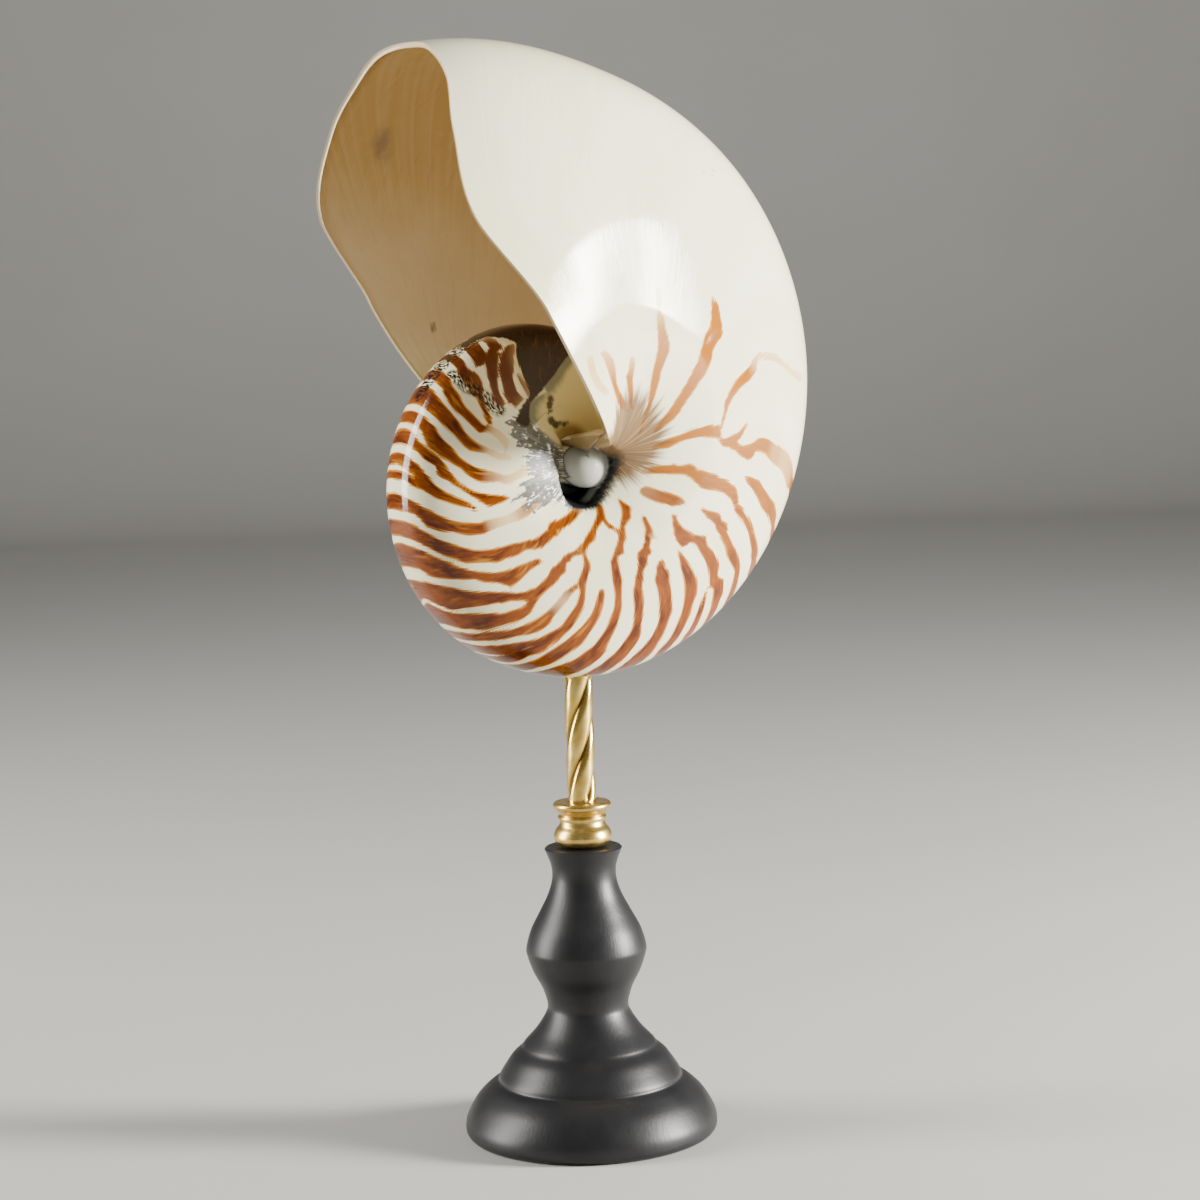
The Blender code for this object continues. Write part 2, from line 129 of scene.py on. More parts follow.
# Stripes of colour on each flank, read off the unrolled flank in panels. A panel is (degrees of growth
# at its start, steps per degree, steps per part of the outline). A stripe is made of (panel, rows) parts, and a
# row is (part of the outline, step at the older edge, step at the younger edge[, strength]).
PANELS = {
    "older 1": (-345, 26, 2600), "older 2": (-306.54, 26, 2600), "older 3": (-268.08, 26, 2600),
    "middle 1": (-235, 22.1, 2210), "middle 2": (-196.54, 22.1, 2210), "middle 3": (-158.08, 22.1, 2210),
    "younger": (-125, 11, 1300), "degrees": (0, 1, 1),
}
PANEL_TOP = -0.05  # part of the outline at the top of a panel
STRIPES = (
    (("older 1", ((0, 25, 125), (0.05, 10, 160), (0.1, 45, 205), (0.15, 75, 250), (0.175, 100, 285),
      (0.19, 110, 230))),),
    (("older 1", ((0.14, -60, 20), (0.17, -30, 110), (0.2, 0, 205), (0.225, 60, 245), (0.25, 130, 300),
      (0.275, 205, 350), (0.3, 290, 410), (0.33, 370, 510), (0.35, 410, 545), (0.38, 470, 540))),),
    (("older 1", ((0.2, -80, -20), (0.25, -30, 60), (0.3, 20, 170), (0.35, 130, 275), (0.38, 180, 335),
      (0.4, 195, 390), (0.43, 200, 420))),),
    (("older 1", ((0.33, -60, 0), (0.4, -20, 60), (0.44, 20, 110))),),
    (("older 1", ((0, 255, 335), (0.05, 270, 370), (0.1, 300, 405), (0.15, 345, 470), (0.2, 345, 500),
      (0.225, 365, 560), (0.25, 400, 590), (0.27, 460, 592), (0.3, 585, 665), (0.325, 645, 730),
      (0.35, 715, 795), (0.365, 760, 850), (0.375, 810, 950))),),
    (("older 1", ((0, 470, 580), (0.05, 490, 610), (0.1, 530, 655), (0.125, 560, 700), (0.15, 600, 730),
      (0.2, 655, 800), (0.25, 740, 855), (0.3, 810, 920), (0.325, 850, 955), (0.34, 880, 985),
      (0.355, 890, 970), (0.37, 850, 945, 0.8), (0.4, 870, 960, 0.45), (0.43, 905, 1020, 0.3),
      (0.46, 960, 1100, 0.25), (0.475, 1010, 1260, 0.15))),),
    (("older 1", ((0, 665, 850), (0.05, 680, 870), (0.1, 735, 905), (0.15, 790, 950), (0.2, 850, 1010),
      (0.25, 930, 1075))),
     ("older 2", ((0.3, 45, 180), (0.325, 95, 225), (0.35, 135, 240), (0.375, 160, 238, 0.8),
      (0.4, 180, 250, 0.5), (0.43, 210, 300, 0.35), (0.46, 250, 325, 0.3), (0.5, 255, 320, 0.15)))),
    (("older 1", ((0, 920, 1035), (0.05, 935, 1045), (0.1, 970, 1100))),
     ("older 2", ((0.15, 20, 220), (0.2, 110, 285), (0.25, 195, 345), (0.3, 330, 430), (0.325, 375, 495),
      (0.35, 420, 560), (0.375, 450, 612), (0.4, 475, 630, 0.9), (0.45, 545, 660, 0.7),
      (0.475, 580, 712, 0.6), (0.5, 600, 720, 0.5), (0.55, 550, 690, 0.4), (0.6, 480, 660, 0.35),
      (0.635, 440, 680, 0.3)))),
    (("older 2", ((0, 90, 225), (0.05, 115, 240), (0.1, 185, 280), (0.15, 240, 350), (0.2, 305, 400),
      (0.21, 320, 480), (0.225, 350, 510), (0.25, 420, 540), (0.265, 480, 570), (0.3, 590, 650),
      (0.325, 640, 710), (0.35, 700, 790), (0.375, 745, 870), (0.39, 770, 930), (0.4, 790, 950),
      (0.43, 830, 957), (0.45, 865, 965), (0.475, 915, 957), (0.485, 940, 950))),),
    (("older 2", ((0, 300, 400), (0.05, 320, 425), (0.1, 370, 480), (0.12, 390, 590), (0.15, 450, 612),
      (0.175, 505, 650), (0.2, 565, 690), (0.25, 670, 752), (0.3, 755, 838), (0.325, 810, 880),
      (0.34, 860, 925), (0.35, 890, 955))),),
    (("older 2", ((0, 455, 530), (0.05, 462, 528), (0.1, 500, 580), (0.13, 510, 598))),),
    (("older 2", ((0, 640, 775), (0.05, 655, 785), (0.1, 700, 805), (0.125, 725, 860), (0.15, 765, 930),
      (0.18, 800, 965), (0.2, 835, 1000), (0.25, 930, 1050))),
     ("older 3", ((0.3, 12, 145), (0.35, 85, 207), (0.36, 85, 212), (0.375, 95, 212, 0.8),
      (0.4, 120, 225, 0.6), (0.45, 165, 275, 0.4), (0.475, 170, 310, 0.5), (0.5, 175, 345, 0.7),
      (0.55, 160, 352, 0.85), (0.6, 195, 365, 0.8), (0.63, 240, 400, 0.6), (0.645, 300, 430, 0.3)))),
    (("older 2", ((0, 860, 990), (0.05, 865, 1005), (0.1, 905, 1055))),
     ("older 3", ((0.15, -15, 130), (0.2, 85, 240), (0.225, 130, 290), (0.25, 185, 360), (0.275, 245, 405),
      (0.3, 310, 450), (0.35, 400, 560), (0.375, 440, 592), (0.4, 480, 645), (0.42, 515, 685),
      (0.43, 535, 690), (0.45, 590, 720), (0.475, 640, 830), (0.5, 715, 895), (0.55, 770, 945),
      (0.58, 790, 975), (0.6, 815, 1000), (0.62, 850, 1060)))),
    (("older 3", ((0, 45, 250), (0.05, 70, 262), (0.1, 105, 345), (0.15, 190, 395), (0.2, 290, 455),
      (0.25, 430, 545), (0.275, 500, 630), (0.3, 570, 700), (0.32, 625, 800), (0.325, 640, 850),
      (0.35, 700, 880), (0.4, 790, 912), (0.43, 850, 950), (0.45, 905, 995), (0.457, 940, 1000))),),
    (("older 3", ((0, 365, 535), (0.05, 375, 595), (0.1, 415, 660), (0.15, 470, 690), (0.2, 570, 750),
      (0.25, 680, 835), (0.275, 750, 890), (0.3, 830, 955), (0.315, 890, 1010), (0.325, 935, 1080),
      (0.35, 1020, 1120), (0.37, 1060, 1140))),),
    (("older 3", ((0, 575, 795), (0.05, 640, 820), (0.1, 690, 870), (0.15, 745, 945), (0.2, 830, 1010))),
     ("middle 1", ((0.25, 90, 205), (0.275, 130, 245), (0.3, 180, 268), (0.32, 200, 268), (0.35, 160, 268),
      (0.375, 190, 290), (0.4, 225, 325), (0.425, 248, 370), (0.45, 250, 390), (0.465, 265, 432),
      (0.475, 290, 425), (0.5, 315, 405), (0.51, 330, 448), (0.525, 345, 450), (0.54, 375, 485),
      (0.55, 410, 530), (0.57, 470, 600), (0.58, 480, 620)))),
    (("middle 1", ((0, 5, 95), (0.05, 15, 100), (0.075, 35, 115), (0.1, 50, 132), (0.15, 90, 192),
      (0.2, 180, 270), (0.225, 222, 322), (0.25, 265, 388), (0.275, 310, 430), (0.3, 352, 458),
      (0.325, 390, 467), (0.35, 420, 492, 0.8), (0.375, 445, 522, 0.7), (0.4, 475, 552, 0.8),
      (0.42, 520, 585), (0.435, 560, 625), (0.445, 590, 640))),),
    (("middle 1", ((0, 130, 240), (0.05, 150, 265), (0.1, 190, 312), (0.12, 215, 350), (0.15, 250, 420),
      (0.175, 290, 470), (0.2, 340, 515), (0.225, 400, 538), (0.25, 448, 582), (0.275, 500, 602),
      (0.3, 555, 642), (0.325, 575, 658), (0.35, 600, 682), (0.375, 630, 705), (0.4, 640, 707),
      (0.42, 640, 697), (0.435, 612, 692), (0.45, 592, 686), (0.475, 610, 700), (0.5, 620, 720),
      (0.52, 625, 712), (0.54, 605, 682), (0.55, 600, 660), (0.565, 565, 642), (0.58, 485, 637),
      (0.6, 500, 632), (0.62, 560, 682), (0.635, 600, 772), (0.65, 640, 792), (0.67, 715, 832),
      (0.69, 780, 940), (0.7, 815, 1040), (0.715, 860, 1050), (0.735, 900, 1070), (0.75, 960, 1030))),),
    (("middle 1", ((0, 265, 345), (0.05, 285, 378), (0.1, 312, 412), (0.125, 320, 425), (0.15, 330, 440),
      (0.175, 340, 480), (0.2, 360, 515))),),
    (("middle 1", ((0, 400, 515), (0.05, 412, 535), (0.1, 450, 552), (0.15, 500, 612), (0.175, 520, 640),
      (0.2, 545, 672), (0.225, 580, 712), (0.25, 620, 755), (0.275, 658, 782), (0.3, 700, 808),
      (0.325, 745, 838), (0.35, 785, 862), (0.375, 805, 878), (0.4, 820, 892), (0.42, 830, 900),
      (0.43, 842, 895), (0.437, 860, 880))),),
    (("middle 1", ((0, 560, 765), (0.05, 565, 780), (0.1, 605, 805), (0.15, 668, 865), (0.175, 715, 895),
      (0.2, 760, 930), (0.225, 800, 952))),
     ("middle 2", ((0.25, 0, 108), (0.275, 35, 130), (0.3, 68, 152), (0.325, 95, 180), (0.35, 122, 197),
      (0.375, 150, 217), (0.4, 155, 217), (0.42, 157, 225), (0.45, 140, 236), (0.46, 135, 246),
      (0.5, 128, 232), (0.54, 130, 226), (0.55, 148, 232), (0.56, 155, 245), (0.57, 170, 322),
      (0.585, 180, 327), (0.6, 195, 332), (0.615, 235, 348), (0.625, 275, 402), (0.64, 310, 432),
      (0.65, 335, 442), (0.66, 362, 460), (0.67, 395, 512), (0.68, 440, 642), (0.69, 480, 682),
      (0.7, 530, 710), (0.705, 545, 785), (0.72, 590, 752), (0.735, 615, 712), (0.75, 640, 682)))),
    (("middle 2", ((0, 5, 130), (0.05, 15, 145), (0.1, 32, 162), (0.15, 75, 212), (0.2, 148, 277),
      (0.225, 190, 315), (0.25, 228, 348), (0.275, 268, 362), (0.3, 296, 371), (0.325, 310, 387),
      (0.35, 322, 402), (0.375, 330, 415), (0.4, 332, 422), (0.42, 342, 430), (0.45, 378, 472),
      (0.475, 410, 492), (0.485, 425, 552), (0.5, 447, 562), (0.515, 465, 590), (0.525, 476, 657),
      (0.55, 492, 657), (0.565, 570, 685), (0.58, 590, 702), (0.6, 622, 725), (0.61, 650, 790),
      (0.62, 690, 802), (0.635, 737, 817), (0.65, 762, 832), (0.66, 777, 852), (0.668, 810, 840))),),
    (("middle 2", ((0, 185, 330), (0.05, 195, 350), (0.1, 218, 382), (0.15, 273, 438), (0.175, 312, 460),
      (0.2, 356, 482), (0.225, 405, 515), (0.25, 452, 547), (0.275, 487, 580), (0.3, 512, 622),
      (0.325, 530, 642), (0.35, 542, 657), (0.375, 556, 672), (0.4, 561, 687), (0.42, 563, 712),
      (0.43, 570, 717), (0.44, 590, 707), (0.45, 607, 702), (0.46, 627, 717), (0.475, 657, 717),
      (0.48, 680, 700))),),
    (("middle 2", ((0, 440, 515), (0.05, 450, 535), (0.1, 470, 562), (0.15, 492, 602), (0.175, 535, 635),
      (0.2, 576, 667), (0.225, 607, 702), (0.25, 642, 742), (0.275, 682, 772), (0.3, 717, 832),
      (0.325, 747, 866), (0.35, 776, 887), (0.375, 796, 896), (0.4, 812, 901), (0.42, 832, 906),
      (0.45, 867, 911), (0.47, 895, 910))),),
    (("middle 2", ((0, 630, 690), (0.05, 640, 702), (0.1, 650, 717), (0.15, 672, 757), (0.175, 705, 780),
      (0.2, 740, 806), (0.225, 772, 834), (0.25, 812, 866), (0.275, 860, 897), (0.285, 888, 918),
      (0.292, 915, 950))),),
    (("middle 3", ((0, -80, -20), (0.05, -75, -5), (0.1, -60, 12), (0.15, -20, 57), (0.175, 5, 80),
      (0.2, 30, 103), (0.215, 45, 140), (0.25, 82, 172), (0.27, 102, 192), (0.285, 85, 172), (0.3, 95, 177),
      (0.325, 130, 236), (0.35, 155, 250), (0.375, 170, 262), (0.4, 180, 263), (0.42, 195, 285),
      (0.43, 200, 313), (0.44, 205, 306), (0.45, 195, 290), (0.46, 185, 275), (0.467, 90, 250),
      (0.475, 85, 262), (0.5, 85, 247), (0.51, 90, 243), (0.525, 115, 241), (0.55, 150, 246),
      (0.575, 176, 261), (0.59, 195, 264), (0.6, 215, 272), (0.61, 242, 302), (0.617, 275, 312))),),
    (("middle 3", ((0, 80, 150), (0.05, 90, 165), (0.1, 110, 188), (0.15, 135, 216), (0.175, 165, 240),
      (0.2, 197, 267), (0.225, 236, 302), (0.25, 276, 332), (0.275, 286, 351), (0.3, 291, 371),
      (0.325, 311, 386), (0.35, 346, 406), (0.375, 366, 435), (0.388, 380, 482), (0.4, 391, 491),
      (0.42, 412, 491), (0.43, 436, 522), (0.44, 441, 531), (0.45, 451, 529), (0.47, 452, 520),
      (0.49, 467, 506), (0.5, 470, 510), (0.51, 485, 520))),),
    (("middle 3", ((0, 300, 365), (0.05, 305, 375), (0.1, 318, 392), (0.15, 327, 411), (0.175, 352, 421),
      (0.2, 386, 452), (0.225, 407, 476), (0.25, 441, 501), (0.275, 471, 526), (0.3, 506, 561),
      (0.325, 531, 586), (0.35, 556, 606), (0.375, 576, 642), (0.39, 592, 652), (0.4, 621, 692),
      (0.41, 636, 717), (0.42, 661, 751), (0.43, 676, 776), (0.45, 696, 782), (0.46, 701, 811),
      (0.475, 706, 816), (0.5, 706, 827), (0.52, 696, 851), (0.55, 691, 857), (0.575, 696, 871),
      (0.6, 716, 881), (0.61, 727, 886), (0.62, 756, 887), (0.635, 780, 937), (0.65, 801, 946),
      (0.67, 786, 917), (0.69, 776, 945), (0.7, 766, 921), (0.72, 746, 901), (0.74, 720, 881),
      (0.75, 705, 860, 0.8), (0.765, 690, 850, 0.5))),),
    (("middle 3", ((0, 500, 560), (0.05, 505, 570), (0.1, 515, 582), (0.15, 546, 603), (0.175, 566, 622),
      (0.2, 601, 667), (0.225, 621, 697), (0.25, 646, 731), (0.275, 661, 747), (0.3, 681, 772),
      (0.325, 716, 801), (0.35, 751, 841), (0.37, 781, 851), (0.39, 816, 861), (0.4, 831, 863),
      (0.41, 848, 858))),),
    (("middle 3", ((0, 740, 810, 0.6), (0.05, 745, 820, 0.8), (0.1, 760, 840), (0.15, 790, 862),
      (0.175, 816, 881))),
     ("younger", ((0.2, 48, 100, 0.8), (0.25, 80, 131, 0.7), (0.275, 95, 146, 0.7), (0.3, 105, 156, 0.8),
      (0.325, 117, 166, 0.8), (0.35, 140, 186), (0.375, 150, 196), (0.39, 155, 196), (0.4, 132, 191),
      (0.41, 121, 186), (0.42, 126, 181), (0.45, 146, 181), (0.47, 166, 201), (0.48, 171, 236),
      (0.49, 176, 236), (0.5, 186, 231), (0.52, 191, 226), (0.54, 215, 241), (0.55, 231, 290),
      (0.56, 240, 306), (0.575, 246, 306), (0.6, 251, 306), (0.61, 256, 321), (0.62, 261, 326),
      (0.63, 271, 323), (0.65, 276, 336), (0.67, 279, 336), (0.68, 280, 331), (0.7, 265, 331),
      (0.71, 250, 331), (0.72, 246, 331), (0.735, 256, 326), (0.745, 265, 315), (0.76, 250, 310, 0.6)))),
    (("younger", ((0.445, 715, 757), (0.455, 690, 748), (0.465, 655, 738), (0.475, 630, 725),
      (0.485, 628, 712), (0.5, 636, 697), (0.525, 625, 703), (0.55, 600, 691), (0.575, 590, 681),
      (0.6, 576, 666), (0.625, 566, 651), (0.65, 546, 631), (0.67, 531, 611), (0.685, 500, 596),
      (0.7, 476, 581), (0.71, 471, 566), (0.73, 466, 546), (0.75, 451, 505), (0.76, 435, 490, 0.6))),),
    (("younger", ((0.625, 905, 975, 0.7), (0.635, 865, 955), (0.645, 850, 940), (0.66, 848, 926),
      (0.675, 843, 918), (0.69, 836, 911), (0.7, 816, 901), (0.72, 791, 876), (0.73, 771, 846),
      (0.745, 748, 815), (0.755, 728, 778), (0.765, 700, 745))),),
    (("younger", ((0.69, 1085, 1122, 0.5), (0.7, 1078, 1128, 0.7), (0.72, 1072, 1130, 0.9),
      (0.73, 1070, 1152), (0.745, 1045, 1120), (0.76, 1020, 1085), (0.775, 975, 1040), (0.785, 935, 985))),),
    (("younger", ((0.685, 1325, 1372, 0.5), (0.7, 1282, 1350, 0.7), (0.72, 1264, 1338, 0.8),
      (0.74, 1270, 1320), (0.755, 1240, 1300), (0.77, 1165, 1270), (0.785, 1090, 1235),
      (0.795, 1020, 1160))),),
    (("younger", ((0.685, 1425, 1462, 0.3), (0.7, 1430, 1480, 0.5), (0.72, 1445, 1490, 0.4),
      (0.745, 1400, 1470, 0.4), (0.76, 1350, 1410, 0.3))),),
    (("degrees", ((0, -350, -347.8), (0.05, -350, -347.2), (0.1, -350, -346.2), (0.15, -349.8, -344.4),
      (0.175, -349.4, -341.3))),),
    (("degrees", ((0.18, -355.3, -350), (0.2, -354.4, -348.1), (0.225, -352.5, -345), (0.25, -350, -340.6),
      (0.275, -348.1, -338.8), (0.3, -345.6, -336.9), (0.325, -341.9, -334.7), (0.35, -340, -331.9),
      (0.375, -337.5, -330), (0.4, -338.1, -328.1))),),
)
# Thin strokes: (panel, points). A point is (step along the growth, step along the outline, half width in
# steps of the outline[, strength]).
STREAKS = (
    ("middle 1", ((-5, 1390, 30), (0, 1480, 30), (50, 1500, 35), (110, 1530, 33), (170, 1565, 33),
     (220, 1590, 33), (280, 1625, 30), (340, 1665, 30), (400, 1690, 25, 0.9), (460, 1705, 22, 0.8),
     (540, 1725, 10, 0.5))),
    ("middle 2", ((380, 1572, 8), (300, 1578, 8), (250, 1600, 16), (210, 1612, 14), (170, 1635, 12),
     (140, 1660, 14))),
    ("middle 2", ((735, 1440, 22, 0.8), (765, 1410, 14, 0.6), (792, 1382, 6, 0.5))),
    ("younger", ((205, 690, 14), (235, 662, 10), (266, 633, 3))),
    ("younger", ((280, 778, 7), (320, 763, 8), (355, 748, 11), (385, 738, 14), (405, 718, 15),
     (422, 690, 15), (431, 655, 16), (432, 620, 18), (440, 600, 16, 0.8), (458, 585, 9, 0.6),
     (458, 565, 7, 0.5), (440, 528, 8, 0.45), (415, 490, 8, 0.45), (385, 460, 6, 0.4), (350, 415, 7, 0.35),
     (325, 370, 9, 0.25), (315, 335, 8, 0.15))),
    ("younger", ((997, 745, 8, 0.3), (990, 800, 11, 0.45), (978, 840, 11, 0.5), (950, 872, 11, 0.8),
     (915, 888, 14, 1))),
    ("younger", ((735, 1060, 7), (690, 1078, 5, 0.9), (640, 1092, 5, 0.8), (560, 1106, 4, 0.6),
     (470, 1118, 4, 0.4))),
    ("middle 1", ((0, 715, 26), (45, 780, 26), (100, 812, 26), (150, 850, 30))),
    ("middle 3", ((345, 1700, 32, 0.9), (370, 1640, 34, 0.95), (410, 1570, 36), (440, 1510, 30),
     (470, 1470, 16, 0.9))),
)

# The dark film that covers the oldest part in sight, as (growth, part of the outline)
FILM = ((-338, -0.05), (-338, 0), (-343, 0.02), (-349, 0.05), (-351, 0.1), (-354, 0.14), (-355.5, 0.18),
        (-354.5, 0.2), (-351, 0.25), (-348.5, 0.3), (-346.5, 0.35), (-344.8, 0.4), (-342.5, 0.43),
        (-330, 0.445), (-319, 0.46), (-319.5, 0.5), (-320, 0.53), (-321, 0.55), (-328, 0.555), (-331, 0.53),
        (-336, 0.5), (-340, 0.48), (-350, 0.46), (-360, 0.44), (-370, 0.4), (-380, 0.33), (-386, 0.28),
        (-440, 0.28), (-440, -0.05))
# The rubbed patch beside the umbilicus where the silvery layer shows
RUBBED = ((-325, 0.46), (-318, 0.43), (-310, 0.5), (-304, 0.52), (-302, 0.6), (-297, 0.63), (-290, 0.62),
          (-280, 0.63), (-275, 0.6), (-268, 0.5), (-262, 0.55), (-258, 0.62), (-250, 0.66), (-240, 0.7),
          (-225, 0.71), (-212, 0.735), (-212, 0.77), (-240, 0.79), (-260, 0.83), (-300, 0.83), (-330, 0.80),
          (-335, 0.68), (-330, 0.6), (-333, 0.55))
# Strokes of specks on the flank and on the keel
SPECKLED = ((-326.5, 0.096, 0.012), (-325.8, 0.17, 0.018), (-324.6, 0.2, 0.016), (-325, 0.28, 0.012),
            (-324, 0.31, 0.014), (-322.7, 0.35, 0.018), (-322, 0.38, 0.012))
KEEL_SPECKLED = ((-344, 0.0, 0.04), (-332, 0.0, 0.03), (-324, 0.0, 0.02), (-316, 0.0, 0.01))
# Inside the chamber, on the far flank: a grey smudge and a short hairline crack
SMUDGE = ((-1.8, 0.268, 0.004), (-1.0, 0.29, 0.010), (-1.0, 0.315, 0.005))
CRACK = ((-5.0, 0.660, 0.002), (-4.4, 0.668, 0.004), (-4.2, 0.680, 0.002))
# Dark spots on the yellow wall beside the umbilicus
PIT_SPOTS = ((-357, 0.51, 0.026), (-354, 0.535, 0.03), (-352, 0.56, 0.032), (-350, 0.59, 0.026),
             (-345, 0.645, 0.022), (-348, 0.675, 0.024), (-356, 0.68, 0.014), (-364, 0.695, 0.016),
             (-372, 0.69, 0.010))
# The brown fan beside the umbilicus: (direction in degrees from its centre, reach)
FAN_CENTRE = (3.4, 2.0)
FAN_REACH = ((-180, -6), (-100, -1), (-80, 6), (-60, 11), (-20, 14), (20, 17), (60, 17), (100, 19), (125, 13),
             (145, 0), (180, -6))
FAN_OLDEST = -235
FAN_BEYOND = -20
FAN_RAYS = 0.16  # repeats per degree round the fan's centre
FAN_HAIRS = 0.42
STRIPE_SPREAD = 0.15
BOSS_EDGE = 3  # how fast the boss's colour ends on the front face
# How near, in degrees and in parts of the outline, a drawing's edge is measured, and the depth beyond
NEAR = (6.0, 0.06)
FAR = 3.0
MOST_STRETCH = 4.0
# How the far flank's drawing departs from the near one's: fully from this part of the outline on, by waves of
# growth (degrees, degrees per radian, start, start per part of the outline) and by one wave of the outline
FAR_FROM = 0.35
FAR_WAVES = ((5, 17, 1, 0), (3, 7, 2, 9))
FAR_SWELL, FAR_SWELL_LENGTH, FAR_SWELL_START = 0.06, 11, 0.5

# Where the shell's colours begin, as (none of it, all of it): degrees of growth, or parts of the outline in
# those called SHARE
YOUNG_STRIPES = (-165, -95)
GLOWING_STRIPES = (-175, -215)
OLDEST_STRIPES = (-322, -335)
STAINED = (-327, -333)
OLD_WALL = (-323, -331)
OLD_WALL_SHARE = (0.25, 0.3)
OLD_FLANK = (-354, -358)
OLD_FLANK_SHARE = (0.45, 0.475)
SPARED = (-341, -335)
PILLAR = (-70, -45)
PILLAR_SHARE = (0.70, 0.79)
RIDGE = (-336, -342)
RIDGE_SHARE = (0.66, 0.73)
EDGE = (-12, -4)
LEDGE_SHARE = (0.76, 0.82)
TURNED = (-40, -18)
TURNED_SHARE = (0.835, 0.875)
# Where the painted near-black shade in the groove round the umbilicus begins and ends
SHADED_GROOVE = ((-242, -222), (-92, -112))
CREST = ((-205, -190), (-118, -132))
BOSS_SHARE = (0.7, 0.8)
CHAMBER_LEVELS = (210, 275)  # heights between which the inside turns browner
# Heights over which painted shade darkens the top of the boss
PEARL_SHADE_LEVEL = (COIL_CENTRE.z - 3.5, COIL_CENTRE.z + 4.5)
# Noise along the shell's growth lines: (repeats per degree, repeats per part of the outline, detail)
GRAINS = {
    "cream cloud": (0.06, 3.0, 3.0), "cream lines": (1.6, 4.0, 3.0),
    "jag": (2.4, 7.0, 2.0), "fine jag": (7.0, 16.0, 2.0), "streaks": (1.3, 22.0, 3.0),
    "brown patches": (0.22, 9.0, 2.0), "glow": (0.30, 6.0, 3.0),
    "scratches": (0.22, 3.0, 4.0), "glints": (0.45, 9.0, 4.0),
    "film patches": (0.5, 12.0, 4.0), "film edge": (0.9, 14.0, 3.0), "film specks": (1.6, 45.0, 4.0),
    "pit shade": (0.2, 6.0, 2.0), "pit spots": (1.2, 40.0, 3.0), "groove edge": (0.8, 30.0, 2.0),
    "inside lines": (0.9, 2.0, 4.0), "gloss": (0.4, 6.0, 4.0),
    "growth lines": (1.4, 3.0, 3.0), "fine lines": (5.0, 8.0, 2.0),
}

# Colours
CREAM = (0.89, 0.87, 0.62)
CREAM_WARM = (0.85, 0.79, 0.50)
CREAM_LINE = (0.92, 0.90, 0.70)
STRIPE = (0.185, 0.042, 0.003)
STRIPE_DARK = (0.085, 0.015, 0.0025)
STRIPE_EDGE = (0.62, 0.24, 0.016)
STRIPE_YOUNG = (0.34, 0.115, 0.006)
STRIPE_GLOW = (0.50, 0.19, 0.016)
STRIPE_WEAK = (0.70, 0.33, 0.05)
FAN_TAN = (0.155, 0.062, 0.010)
FAN_DARK = (0.055, 0.017, 0.004)
FAN_LIGHT = (0.38, 0.22, 0.06)
RUBBED_GREY = (0.12, 0.12, 0.125)
RUBBED_DARK = (0.022, 0.022, 0.025)
# Painted glints of highlight in the rubbed patch
RUBBED_GLINT = (0.85, 0.85, 0.87)
FILM_BLACK = (0.018, 0.009, 0.006)
FILM_RED = (0.060, 0.018, 0.008)
FILM_STAIN = (0.42, 0.32, 0.14)
PIT_YELLOW = (0.56, 0.48, 0.23)
PIT_GREEN = (0.17, 0.17, 0.11)
PIT_RIDGE = (0.24, 0.16, 0.06)
# Painted shade in the groove round the umbilicus
GROOVE_SHADE = (0.010, 0.011, 0.014)
PEARL = (0.42, 0.42, 0.36)
# Painted shade on the boss: at its foot, and darker and browner on top
PEARL_SHADE = (0.10, 0.10, 0.09)
PEARL_TOP_SHADE = (0.20, 0.185, 0.14)
INSIDE_HIGH = (0.49, 0.325, 0.115)
INSIDE_LOW = (0.76, 0.63, 0.42)
INSIDE_LINE = (0.64, 0.50, 0.28)
LIP = (0.62, 0.50, 0.34)
SMUDGE_GREY = (0.16, 0.12, 0.09)
BRASS = (0.72, 0.48, 0.11)
BRASS_PALE = (0.80, 0.60, 0.20)
BRASS_TARNISH = (0.26, 0.15, 0.03)
COLLAR_BRASS = (0.68, 0.45, 0.12)
LACQUER = (0.008, 0.008, 0.009)
LACQUER_PALE = (0.012, 0.012, 0.013)
DUST = (0.03, 0.03, 0.03)
FLOOR_PALE = (0.50, 0.49, 0.47)
FLOOR_WARM = (0.46, 0.45, 0.42)

# Floor and backdrop: reach on each side, radius of the bend between them, height, steps in the bend
FLOOR_REACH = 2600.0
FLOOR_BEND = 500.0
FLOOR_RISE = 1500.0
FLOOR_STEPS = 16

# Lights, all aimed at one place from one distance: (name, azimuth, elevation, (width, height), watts, colour)
LIGHT_TARGET = Vector((0, 0, 170))
LIGHT_DISTANCE = 1100
LIGHTS = (("key", 49.5, 10, (210, 400), 57, (1.0, 0.98, 0.94)),
          ("fill", -122, 14, (420, 1000), 30, (1.0, 0.98, 0.95)))
AIR_COLOUR = (0.85, 0.85, 0.84, 1)
AIR_STRENGTH = 0.24

# Camera
CAMERA_PLACE = Vector((-429.43, -667.89, 232.60))
CAMERA_YAW = math.radians(33.2268)
CAMERA_PITCH = math.radians(5.9857)
CAMERA_ROLL = math.radians(1.75)
CAMERA_LENS = 86.99
SENSOR_WIDTH = 36.0


def curve_value(points, x):
    """Height at x of a curve through the points that never overshoots between two of them."""
    last = len(points) - 1
    if x <= points[0][0]:
        return points[0][1]
    if x >= points[last][0]:
        return points[last][1]
    slopes = [(points[i + 1][1] - points[i][1]) / (points[i + 1][0] - points[i][0]) for i in range(last)]

    def tangent(i):
        if i == 0 or i == last:
            return 0.0
        before, after = slopes[i - 1], slopes[i]
        return 2 * before * after / (before + after) if before * after > 0 else 0.0

    i = max(k for k in range(last) if points[k][0] <= x)
    width = points[i + 1][0] - points[i][0]
    t = (x - points[i][0]) / width
    start, end = tangent(i) * width, tangent(i + 1) * width
    rise = points[i + 1][1] - points[i][1]
    return points[i][1] + t * (start + t * (3 * rise - 2 * start - end + t * (start + end - 2 * rise)))


